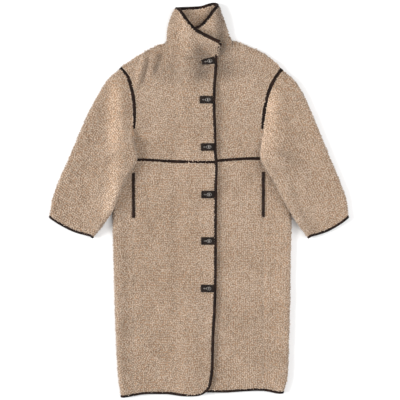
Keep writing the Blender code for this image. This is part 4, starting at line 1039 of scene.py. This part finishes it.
def add_stitches(name, rows, pitch=STITCH_PITCH):
    """Stitches along rows, each a pair: its places in millimetres, and which way is up there."""
    places, ups, edges = [], [], []
    for path, up in rows:
        first = sum(len(p) for p in places)
        places.append(np.asarray(path, float))
        ups.append(np.broadcast_to(up, np.shape(path)))
        edges += [(first + i, first + i + 1) for i in range(len(path) - 1)]
    mesh = bpy.data.meshes.new(name + "_rows")
    mesh.from_pydata(in_metres(np.concatenate(places)), edges, [])
    mesh.attributes.new("up", "FLOAT_VECTOR", "POINT").data.foreach_set("vector", np.concatenate(ups).ravel())
    source = linked(name + "_rows", mesh)
    values = {"Pitch": pitch * MM, "Length": STITCH_LENGTH * MM, "Width": STITCH_WIDTH * MM,
              "Finish": finishes["thread"]}
    made = made_by(trees["stitches"], source, name, values)
    bpy.data.objects.remove(source)
    return made


# The coat's cloth
def lowered(top, bottom):
    """The top of a panel's cloth under its pile."""
    return np.maximum(top - PILE, bottom + THINNEST_CLOTH)


def outer_half(up):
    """From the middle of a wall to its outer side: less the pile's height, but where it faces the floor."""
    return CLOTH / 2 - PILE * ease((up + 1.0) / PILE_FADE)


def seam_dip(distance):
    """How far the cloth dips at a distance from its side seam."""
    return SEAM_DIP * (1.0 - ease(distance / SEAM_DIP_REACH))


def puffed(distance):
    """How much higher the cloth is at a distance from a folded edge."""
    return PUFF * (1.0 - ease(distance / PUFF_REACH))


def front_shell(name, side, plan):
    top, bottom = front_heights(side, plan)
    x, y = plan[..., 0], plan[..., 1]
    from_seam = np.linalg.norm(plan - plan[:, :1], axis=-1)
    below_waist = y < edge_y(WAIST[side], x)
    top = lowered(top + relief(x, y, FRONT_CREASES[side]) - seam_dip(from_seam) * below_waist, bottom)
    hidden = None if side == RIGHT else (lambda x, y: x < edge_x(FRONT_EDGE, y) - HIDDEN_UNDER_EDGE)
    return add_wall(name, with_height(plan, top), with_height(plan, bottom), grid(numbered(plan)),
                    finishes["ground"], hidden=hidden, painted_shading=FRONT_PAINTED_SHADING[side])


def make_fronts():
    """Both fronts, each cut at the waist. Returns the shells, and the plans that the bindings follow."""
    shells, plans = {}, {}
    for side, word in SIDES.items():
        edges, knots, corner = upper_front_plan(side)
        shares, rows = divided(knots, UPPER_WIDTH), divided(upper_rows(), UPPER_LENGTH)
        plan = fanned(patch(*edges, shares[None, :], rows[:, None]), shares, rows, corner, side)
        plans["upper", side] = plan
        shells["front_upper_" + word] = front_shell("fleece_front_upper_" + word, side, plan)
        edges, shares, rows = lower_front_plan(side)
        plan = patch(*edges, divided(shares, LOWER_WIDTH)[None, :], divided(rows, LOWER_LENGTH)[:, None])
        plans["lower", side] = plan
        shells["front_lower_" + word] = front_shell("fleece_front_lower_" + word, side, plan)
    return shells, plans


def back_section(side, y):
    """Half a section through the back below the underarm, from the side seam round the fold to the floor.

    Gives the middle of the wall and its outward direction.
    """
    edge = edge_x(SIDE_EDGE[side], y)
    seam = side_seam(side, y, False)
    start = edge - side * LOOP_START
    across = np.linspace(0.0, 1.0, WRAP_STEPS + 1)[:-1]
    wrap_x = seam + (start - seam) * across
    wrap_z = FRONT_MID + puffed(side * (start - wrap_x))
    wrap_z = wrap_z + relief(wrap_x, y, SIDE_CREASES[side]) * across - seam_dip(np.abs(wrap_x - seam))
    turn = np.linspace(math.pi / 2, -math.pi / 2, LOOP_STEPS + 1)
    loop_x = start + side * LOOP * np.cos(turn)
    raised = relief(start, y, SIDE_CREASES[side]) * (1.0 + np.sin(turn)) / 2
    loop_z = BACK_MID + LOOP + LOOP * np.sin(turn) + raised
    x, z = np.r_[wrap_x, loop_x], np.r_[wrap_z, loop_z]
    out_x = np.r_[np.zeros(WRAP_STEPS), side * np.cos(turn)]
    out_z = np.r_[np.ones(WRAP_STEPS), np.sin(turn)]
    zero = np.zeros(len(x))
    return np.stack([x, zero + y, z], axis=1), np.stack([out_x, zero, out_z], axis=1)


def back_top():
    """The back's upper edge, from the right armhole over both shoulders and the neck.

    Gives the edge, the shares of its columns, and the shares of its two neck corners.
    """
    neck = neck_places(BACK_STATIONS)
    offset = ARMHOLE_PIPING / 2
    right = [armhole(RIGHT, 0.0, offset), *SHOULDER[RIGHT][:-1], *NECK_CORNER["back_right"]]
    left = [*NECK_CORNER["back_left"], *SHOULDER[LEFT][-2::-1], armhole(LEFT, 0.0, offset)]
    places = np.concatenate([right, neck, left])
    corners = (len(SHOULDER[RIGHT]), len(places) - 1 - len(SHOULDER[LEFT]))
    knots = lengths(places)
    columns = divided(knots, BACK_TOP_LENGTH, BACK_STEP)
    return line(places, corners=corners), columns, (knots[corners[0] + 1], knots[corners[1] - 1])


def back_rows():
    """The lower back row by row: the middle of its wall, its outward direction, and its columns a side."""
    shares = back_top()[1][1:-1]
    middle, outward = [], []
    right_knots, left_knots = (side_heights(side, UNDERARM_Y, HEM_Y) for side in (RIGHT, LEFT))
    right_rows = divided(-right_knots, 1.0, SIDE_STEP)
    left_rows = np.interp(right_rows, -right_knots, -left_knots)
    for y_right, y_left in zip(-right_rows, -left_rows):
        right, right_out = back_section(RIGHT, y_right)
        left, left_out = back_section(LEFT, y_left)
        x = right[-1, 0] + (left[-1, 0] - right[-1, 0]) * shares
        flat = np.stack([x, y_right + (y_left - y_right) * shares, 0 * x + BACK_MID], axis=1)
        middle.append(np.concatenate([right, flat, left[::-1]]))
        outward.append(np.concatenate([right_out, all_facing([0, 0, -1], x), left_out[::-1]]))
    middle, outward = np.array(middle), np.array(outward)
    near_hem = np.clip((HEM_SHAPE_FROM - middle[..., 1]) / (HEM_SHAPE_FROM - HEM_Y), 0.0, 1.0)
    middle[..., 1] += near_hem * (edge_y(BACK_HEM, middle[-1, :, 0]) - HEM_Y)
    return middle, outward, len(right) - 1


def make_back():
    """The back with both side wraps. Returns it, and the middle and outward direction of its hem."""
    middle, outward, side_columns = back_rows()
    top, shares, corners = back_top()
    flat = middle[0, side_columns:-side_columns]
    bottom = line(flat[:, :2], shares)
    outer = outer_edge(RIGHT, ARMHOLE_PIPING / 2, flat[0, :2])
    inner = outer_edge(LEFT, ARMHOLE_PIPING / 2, flat[-1, :2])
    rows = divided(upper_rows(), UPPER_LENGTH, BACK_STEP)[:-1]
    plan = patch(top, bottom, outer, inner, shares[None, :], rows[:, None])
    for side, corner in zip((RIGHT, LEFT), corners):
        plan = fanned(plan, shares, rows, corner, side)
    upper = with_height(plan, BACK_MID)
    upper_index = numbered(upper)
    lower_index = numbered(middle, upper.shape[0] * upper.shape[1])
    joined = np.concatenate([upper_index, lower_index[:1, side_columns:-side_columns]])
    faces = np.concatenate([grid(joined), grid(lower_index)])
    points = np.concatenate([upper.reshape(-1, 3), middle.reshape(-1, 3)])
    out = np.concatenate([all_facing([0, 0, -1], plan.reshape(-1, 2)), outward.reshape(-1, 3)])
    outer_sheet, inner_sheet = points + out * outer_half(out[:, 2:]), points - out * CLOTH / 2
    shell = add_wall("fleece_back", outer_sheet, inner_sheet, faces, finishes["ground"])
    return shell, middle[-1], outward[-1]


def sleeve_lift(side, plan, ramp):
    """How far a sleeve is raised over the body, falling over a ramp outside the body's edge."""
    rows = sorted(SIDE_EDGE[side])
    x, y = plan[..., 0], plan[..., 1]
    outside = side * (x - edge_x(rows, np.clip(y, rows[0].y, rows[-1].y)))
    rise = ease((SLEEVE_RISE_FROM - y) / (SLEEVE_RISE_FROM - rows[-1].y))
    return SLEEVE_LIFT * rise * (1.0 - ease((outside - SLEEVE_RAMP_FROM) / ramp))


def sleeve_edges(side):
    """The four edges of a laid out sleeve, and the direction that its cuff faces."""
    start = armhole(side, 0.0, ARMHOLE_PIPING / 2 + SEAM)
    end = armhole(side, 1.0, ARMHOLE_PIPING / 2 + SEAM)
    tip, heel = np.array(SLEEVE_OUTER[side][-1], float), np.array(SLEEVE_INNER[side][-1], float)
    along = (heel - tip) / np.linalg.norm(heel - tip)
    facing = np.array([along[1], -along[0]])
    facing *= -np.sign(facing[1])
    back_off = (HEM_BINDING + SEAM) * facing
    tip, heel = tip - back_off, heel - back_off

    def cuff(share):
        share = np.asarray(share, float)[..., None]
        return tip + (heel - tip) * share + CUFF_BOW[side] * 4 * share * (1 - share) * facing

    outer = line([start, *SLEEVE_OUTER[side][:-1], tip])
    inner = line([end, *SLEEVE_INNER[side][:-1], heel])
    return (lambda share: armhole(side, share, ARMHOLE_PIPING / 2 + SEAM), cuff, outer, inner), facing


def fold_directions(edges, q):
    """Level unit vectors out of a sleeve at its folds: along the ring, and soon square to the inner fold."""
    outer, inner = edges[2], edges[3]
    out = unit(outer(q) - patch(*edges, NUDGE, q))
    ring = unit(inner(q) - patch(*edges, 1 - NUDGE, q))
    ahead = inner(min(q + NUDGE, 1)) - inner(max(q - NUDGE, 0))
    square = unit(np.array([-ahead[1], ahead[0]]))
    square *= np.sign(square @ (inner(q) - outer(q)))
    return out, unit(ring + (square - ring) * ease(q / SQUARE_BY))


def sleeve_rings(side):
    """A sleeve ring by ring.

    Gives the middle of its wall, its outward direction, how far each place faces up, and the cuff's facing.
    """
    edges, facing = sleeve_edges(side)
    outer, inner = edges[2], edges[3]
    middle, outward, upper = [], [], []
    across = math.ceil(SLEEVE_WIDTH / STEP)
    turn = np.linspace(math.pi / 2, -math.pi / 2, LOOP_STEPS + 1)[1:-1]
    for q in divided(SLEEVE_KNOTS, SLEEVE_LENGTH):
        width = np.linalg.norm(inner(q) - outer(q))
        flat = np.linspace(LOOP_START / width, 1.0 - LOOP_START / width, across)
        out, into = fold_directions(edges, q)
        plan = patch(*edges, flat, q)
        first = outer(q) - out * LOOP_START - plan[0]
        last = inner(q) - into * LOOP_START - plan[-1]
        plan = plan + ease(1.0 - 2 * flat)[:, None] * first + ease(2 * flat - 1.0)[:, None] * last
        bow = np.cos(turn)[:, None]
        plan = np.concatenate([plan[::-1], plan[0] + LOOP * bow * out, plan, plan[-1] + LOOP * bow * into])
        still = np.zeros((len(flat), 2))
        aside = np.concatenate([still, bow * out, still, bow * into])
        level = np.r_[-np.ones(len(flat)), -np.sin(turn), np.ones(len(flat)), np.sin(turn)]
        from_edge = np.minimum(flat, 1.0 - flat) * width - LOOP_START
        from_edge = np.r_[from_edge[::-1], 0 * turn, from_edge, 0 * turn]
        fold = fold_lift(SLEEVE_FOLDS[side], plan[:, 0], plan[:, 1])
        lift = sleeve_lift(side, plan, SLEEVE_RAMP_ABOVE)
        top = FRONT_MID + puffed(from_edge) + lift + np.maximum(fold, -AIR)
        top = top + relief(plan[:, 0], plan[:, 1], SLEEVE_CREASES[side])
        low = BACK_MID + sleeve_lift(side, plan, SLEEVE_RAMP_BELOW)
        middle.append(with_height(plan, (top + low) / 2 + (top - low) / 2 * level))
        outward.append(np.concatenate([aside, level[:, None]], axis=1))
        upper.append(level)
    return np.array(middle), np.array(outward), np.array(upper), facing


def make_sleeves():
    """Both sleeves. Returns the shells, and each cuff's middle, its outward direction and its facing."""
    shells, cuffs = {}, {}
    for side, word in SIDES.items():
        middle, outward, upper, facing = sleeve_rings(side)
        outer, inner = middle + outward * outer_half(upper)[..., None], middle - outward * CLOTH / 2
        faces = grid(numbered(middle), closed=True)
        shells["sleeve_" + word] = add_wall("fleece_sleeve_" + word, outer, inner, faces, finishes["ground"],
                                            painted_shading=SLEEVE_PAINTED_SHADING[side])
        cuffs[word] = middle[-1], outward[-1], all_facing([*facing, 0.0], middle[-1])
    return shells, cuffs


def square_to(direction, ahead, outward):
    """Unit vectors at right angles to a path and to the wall's outward direction, on a given side."""
    found = np.cross(ahead, outward)
    found *= np.sign(np.sum(found * direction, axis=1, keepdims=True))
    return unit(found)


def neck_outward(share):
    """The outward direction at the neck seam: level round the two folds, and upright elsewhere."""
    aside = np.interp(share, TURN_STATIONS, [0, -1, 0, 0, 1, 0])
    up = np.interp(share, TURN_STATIONS, [1, 0, -1, -1, 0, 1])
    return unit(np.stack([aside, 0 * aside, up], axis=1))


def collar_sheets():
    """The collar's columns and rows, its middle there, the ways round its band and up it, and outwards."""
    share = divided(np.arange(0, len(COLLAR) - 0.75, 0.5), STATION_LENGTH)
    level = np.linspace(0.0, 1.0, COLLAR_ROWS)
    middle = collar_mid(share[None, :], level[:, None])
    round_band, up_band = np.gradient(middle, axis=1), np.gradient(middle, axis=0)
    outward = -unit(np.cross(round_band, up_band))
    outward[0] = neck_outward(share)
    return share, level, middle, round_band, up_band, outward


def make_collar():
    """The collar. Returns its shell, its two bindings, and the row of stitches along its rim."""
    share, level, middle, round_band, up_band, outward = collar_sheets()
    thick = COLLAR_SEAM_CLOTH + (COLLAR_CLOTH - COLLAR_SEAM_CLOTH) * ease(level / COLLAR_THICK_AT)
    half = thick[:, None, None] / 2 - PILE * ease(level / COLLAR_PILE_BY)[:, None, None]
    over = ease(OVER_STATIONS[1] + 1.0 - share)[None, :, None]
    raised = relief(middle[..., 0], middle[..., 1], COLLAR_CREASES)[..., None] * over
    raised = raised * ease(level / COLLAR_CREASES_BY)[:, None, None]
    outer, inner = middle + outward * (half + raised), middle - outward * half
    end = square_to(-round_band[1:, 0], up_band[1:, 0], outward[1:, 0])
    cover = ease((1.0 - level[1:]) / COLLAR_END_CORNER)[:, None]
    outer[1:, 0] += cover * (COLLAR_END_COVER * end + COLLAR_END_RISE * outward[1:, 0])
    for sheet in (outer, inner):
        sheet[..., 2] = np.maximum(sheet[..., 2], 0.0)
    shell = add_wall("fleece_collar", outer, inner, grid(numbered(middle)), finishes["ground"],
                     both_sides=True, painted_shading=COLLAR_PAINTED_SHADING)
    rim = square_to(up_band[-1], round_band[-1], outward[-1])
    gap = COLLAR_BINDING_GAP + FOLD_TWIST * ease(TWIST_REACH - np.abs(share - TWIST_STATION))
    bands = {
        "collar_binding": add_band("leather_collar_binding", middle[-1], rim, outward[-1],
                                   COLLAR_BINDING, COLLAR_BINDING_DEPTH, finishes["binding"], gap),
        "collar_end_binding": add_band("leather_collar_end_binding", middle[1:, 0], end, outward[1:, 0],
                                       BINDING, COLLAR_BINDING_DEPTH, finishes["binding"],
                                       COLLAR_BINDING_GAP),
    }
    row = middle[-1] + rim * (gap[:, None] + STITCH_FROM_EDGE) + outward[-1] * COLLAR_BINDING_DEPTH / 2
    return shell, bands, [(row, outward[-1])]


def sewn_on(path, outward, upward, distance, depth):
    """A row of stitches on a band's top, at a distance from its path."""
    places = path + outward * distance + upward * depth / 2
    places[:, 2] = np.maximum(places[:, 2], STITCH_WIDTH / 2)
    return places, upward


def make_bindings(plans, hem_middle, hem_outward, cuffs):
    """Bindings along the front edge, hems and cuffs, pipings in the seams, and the rows of their stitches."""
    bands, rows = {}, []

    def bind(node, path, outward, upward, width, depth, gap=SEAM, closed=False, sewn=True):
        proud = EDGE_PROUD if "binding" in node else PIPING_PROUD
        bands[node] = add_band("leather_" + node, path, outward, upward, width, depth, finishes["binding"],
                               gap, closed, proud)
        if sewn:
            rows.append(sewn_on(path, outward, upward, gap + STITCH_FROM_EDGE, depth + 2 * proud))

    def bind_plan(node, plan, height, width, depth, **options):
        """A band to the left of a path on the plan."""
        path = with_height(plan, height)
        bind(node, path, plan_outward(path), all_facing([0, 0, 1], path), width, depth, **options)

    upper, lower = plans["upper", RIGHT], plans["lower", RIGHT]
    path = np.concatenate([upper[:, -1], lower[:, -1], lower[-1, -2::-1]])
    path[0, 1] -= NECK_CLEAR
    width = BINDING + (HEM_BINDING - BINDING) * ease((HEM_BINDING_FROM - path[:, 1]) / HEM_BINDING_FADE)
    bind_plan("edge_binding", path, front_binding_height(RIGHT, path), width, BINDING_DEPTH)
    path = plans["lower", LEFT][-1]
    bind_plan("hem_binding_left", path, front_binding_height(LEFT, path), HEM_BINDING, BINDING_DEPTH)
    bind("hem_binding_back", hem_middle, all_facing([0, -1, 0], hem_middle), hem_outward, HEM_BINDING,
         BINDING_DEPTH, sewn=False)
    for word, (middle, outward, facing) in cuffs.items():
        bind("cuff_binding_" + word, middle, facing, outward, HEM_BINDING, BINDING_DEPTH, closed=True)
    for side, word in SIDES.items():
        path = armhole(side, divided(ARMHOLE_SHARES, ARMHOLE_LENGTH))
        bind_plan("armhole_piping_" + word, path, piping_height(side, path), ARMHOLE_PIPING + BAND_SWELL,
                  PIPING_DEPTH, gap=-ARMHOLE_PIPING / 2, sewn=False)
        x = plans["upper", side][-1, :, 0]
        path = np.stack([x, edge_y(WAIST[side], x)], axis=1)
        bind_plan("waist_piping_" + word, path, piping_height(side, path), WAIST_PIPING + BAND_SWELL,
                  PIPING_DEPTH, gap=-WAIST_PIPING / 2, sewn=False)
        y = np.linspace(WELTS[side].top, WELTS[side].bottom, WELT_STEPS)
        path = np.stack([0 * y + SIDE_SEAM[side], y], axis=1)
        bind_plan("pocket_welt_" + word, path, FRONT_MID, WELT - BAND_SWELL, WELT_DEPTH,
                  gap=BAND_SWELL - WELT / 2)
    return bands, rows


# Fastenings
def oval(length, width, steps=RING_STEPS):
    turn = np.linspace(0.0, 2 * math.pi, steps, endpoint=False)
    return np.stack([length / 2 * np.cos(turn), width / 2 * np.sin(turn)], axis=1)


def inset(outline, distance):
    """An outline moved inwards by a distance."""
    ahead = np.roll(outline, -1, axis=0) - np.roll(outline, 1, axis=0)
    inward = unit(np.stack([-ahead[:, 1], ahead[:, 0]], axis=1))
    inward *= np.sign(np.sum(inward * (outline.mean(axis=0) - outline)))
    return outline + inward * distance


def add_plate(name, outline, low, high, rounding, finish, dome=0.0):
    """A plate of any outline between two heights, with rounded edges, and a top that may be domed."""
    turn = np.linspace(0.0, math.pi / 2, ROUNDING_STEPS)
    rings = [(rounding * (1 - np.sin(t)), low + rounding * (1 - np.cos(t))) for t in turn]
    rings += [(rounding * (1 - np.cos(t)), high - rounding * (1 - np.sin(t))) for t in turn]
    points = [with_height(inset(outline, distance), height) for distance, height in rings]
    middle, top = outline.mean(axis=0), points[-1][:, :2]
    for share in DOME_SHARES if dome else ():
        points.append(with_height(middle + (top - middle) * share, high + dome * (1.0 - share**2)))
    points = np.array(points)
    index = numbered(points)
    faces = [tuple(f) for f in grid(index, closed=True)] + [tuple(index[0]), tuple(index[-1])]
    return add_object(name, points.reshape(-1, 3), faces, finish, sharp=70)


def add_ring(name, outline, hole, low, high, finish):
    """A rounded ring between an outline and a hole with as many points."""
    turn = np.linspace(0.0, 2 * math.pi, RING_SIDES, endpoint=False)
    share, height = 0.5 + 0.5 * np.cos(turn), (low + high) / 2 + (high - low) / 2 * np.sin(turn)
    points = np.array([with_height(outline + (hole - outline) * s, h) for s, h in zip(share, height)])
    index = numbered(points)
    faces = grid(np.concatenate([index, index[:1]]), closed=True)
    return add_object(name, points.reshape(-1, 3), faces, finish)


def tab_outline(tab):
    """A tab's outline from the front edge to its free end, about the middle of its edge end."""
    half, free, cut = TAB_WIDTH / 2, tab.free_width / 2, TAB_CORNER
    turn = np.linspace(0.0, math.pi / 2, TAB_CORNER_STEPS)
    sides = np.linspace(0.0, 1.0, TAB_SIDE_STEPS)[:-1]
    upper = [(-(TAB_LENGTH - cut) * s, half + (free - half) * s) for s in sides]
    upper += [(-TAB_LENGTH + cut * (1 - math.sin(t)), free - cut * (1 - math.cos(t))) for t in turn]
    return np.array(upper + [(x, -y) for x, y in reversed(upper)])


def turned(outline, tilt, at):
    turn = math.radians(tilt)
    spin = np.array([[math.cos(turn), math.sin(turn)], [-math.sin(turn), math.cos(turn)]])
    return outline @ spin + at


def make_fastenings():
    """Six tabs, each with its stitches, the oval ring and bar of its turn lock, and its rivet."""
    made, rows = {}, []
    low = FRONT_MID + OVERLAP_STEP + CLOTH / 2 + TAB_CLEAR
    top = low + TAB_THICKNESS
    rise = top + SEAM
    for number, tab in enumerate(TABS, 1):
        edge = np.array([front_edge(tab.y), tab.y])

        def on_tab(outline, from_edge=0.0):
            return turned(outline - [from_edge, 0.0], tab.tilt, edge)

        outline = tab_outline(tab)
        made[f"tab_{number}"] = add_plate(f"leather_tab_{number}", on_tab(outline), low, top, TAB_ROUND,
                                          finishes["tab"])
        row = on_tab(inset(outline, TAB_STITCH_INSET)[2:-2])
        rows.append((with_height(row, top), np.array([0.0, 0.0, 1.0])))
        lock = on_tab(oval(LOCK_LENGTH, LOCK_WIDTH), LOCK_FROM_EDGE)
        hole = on_tab(oval(LOCK_LENGTH - 2 * LOCK_RIM, LOCK_WIDTH - 2 * LOCK_RIM), LOCK_FROM_EDGE)
        made[f"lock_{number}"] = add_ring(f"metal_lock_{number}", lock, hole, rise - RING_SINK,
                                          rise + LOCK_DEPTH, finishes["metal"])
        bar = on_tab(oval(BAR_WIDTH, BAR_LENGTH, SMALL_OVAL_STEPS), LOCK_FROM_EDGE)
        made[f"bar_{number}"] = add_plate(f"metal_bar_{number}", bar, top, rise + BAR_HEIGHT, BAR_ROUND,
                                          finishes["metal"], BAR_DOME)
        rivet = on_tab(oval(RIVET_LENGTH, RIVET_WIDTH, SMALL_OVAL_STEPS), RIVET_FROM_EDGE)
        rim = rise + RIVET_DEPTH - RIVET_RIM
        made[f"rivet_{number}"] = add_plate(f"metal_rivet_{number}", rivet, top, rim, RIVET_ROUND,
                                            finishes["metal"], RIVET_DOME)
    return made, rows


# The pieces and what they stand for
finishes = {
    "pile": pile_finish(),
    "ground": ground_finish(),
    "binding": leather_finish("leather_binding", BINDING_COLOURS, rough=0.6),
    "tab": leather_finish("leather_tab", TAB_COLOURS, rough=0.55),
    "thread": thread_finish(),
    "metal": gunmetal_finish(),
}
trees = {"pile": pile_tree(), "stitches": stitches_tree()}

shells, plans = make_fronts()
shells["back"], hem_middle, hem_outward = make_back()
sleeves, cuffs = make_sleeves()
shells.update(sleeves)
shells["collar"], bands, collar_rows = make_collar()
more_bands, rows = make_bindings(plans, hem_middle, hem_outward, cuffs)
bands.update(more_bands)
fastenings, tab_rows = make_fastenings()
band_stitches = add_stitches("stitches_bindings", rows + collar_rows)
tab_stitches = add_stitches("stitches_tabs", tab_rows, TAB_STITCH_PITCH)

for seed, (node, shell) in enumerate(shells.items(), 1):
    pile = add_pile("pile_" + node, shell, seed)
    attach(shell, "root")
    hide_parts(node)
    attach(pile, "root")
for node, piece in bands.items():
    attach(piece, "root")
    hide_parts(node)
for node, piece in fastenings.items():
    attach(piece, "root")
    if not node.startswith("bar"):
        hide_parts(node)
for piece in (band_stitches, tab_stitches):
    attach(piece, "root")


# The floor, the light and the camera
def add_floor():
    made, tree, shader = new_finish("floor", Roughness=0.9)
    shade = stretched(tree, noise(tree, object_places(tree), scale=2.0), low=0.3, high=0.7)
    tree.links.new(two_colours(tree, shade, *FLOOR_COLOURS), shader.inputs["Base Color"])
    mesh = bpy.data.meshes.new("floor")
    corners = [(x * FLOOR_HALF, y * FLOOR_HALF, 0.0) for x, y in ((-1, -1), (1, -1), (1, 1), (-1, 1))]
    mesh.from_pydata(corners, [], [(0, 1, 2, 3)])
    mesh.materials.append(made)
    floor = linked("floor", mesh)


def add_light(name, place, size, power):
    lamp = bpy.data.lights.new(name, "AREA")
    lamp.energy, lamp.size = power, size
    light = linked(name, lamp)
    light.location = place
    light.rotation_euler = (-light.location).to_track_quat("-Z", "Y").to_euler()


add_floor()
for name, (place, size, power) in LIGHTS.items():
    add_light(name, place, size, power)
scene = bpy.context.scene
scene.world = bpy.data.worlds.new("studio")
scene.world.use_nodes = True
background = scene.world.node_tree.nodes["Background"]
background.inputs["Color"].default_value = (1.0, 1.0, 1.0, 1.0)
background.inputs["Strength"].default_value = WORLD_LIGHT
scene.view_settings.view_transform = "Standard"
camera = linked("camera", bpy.data.cameras.new("camera"))
camera.data.lens, camera.data.sensor_width = CAMERA_LENS, SENSOR_WIDTH
camera.location = CAMERA_AT
scene.camera = camera
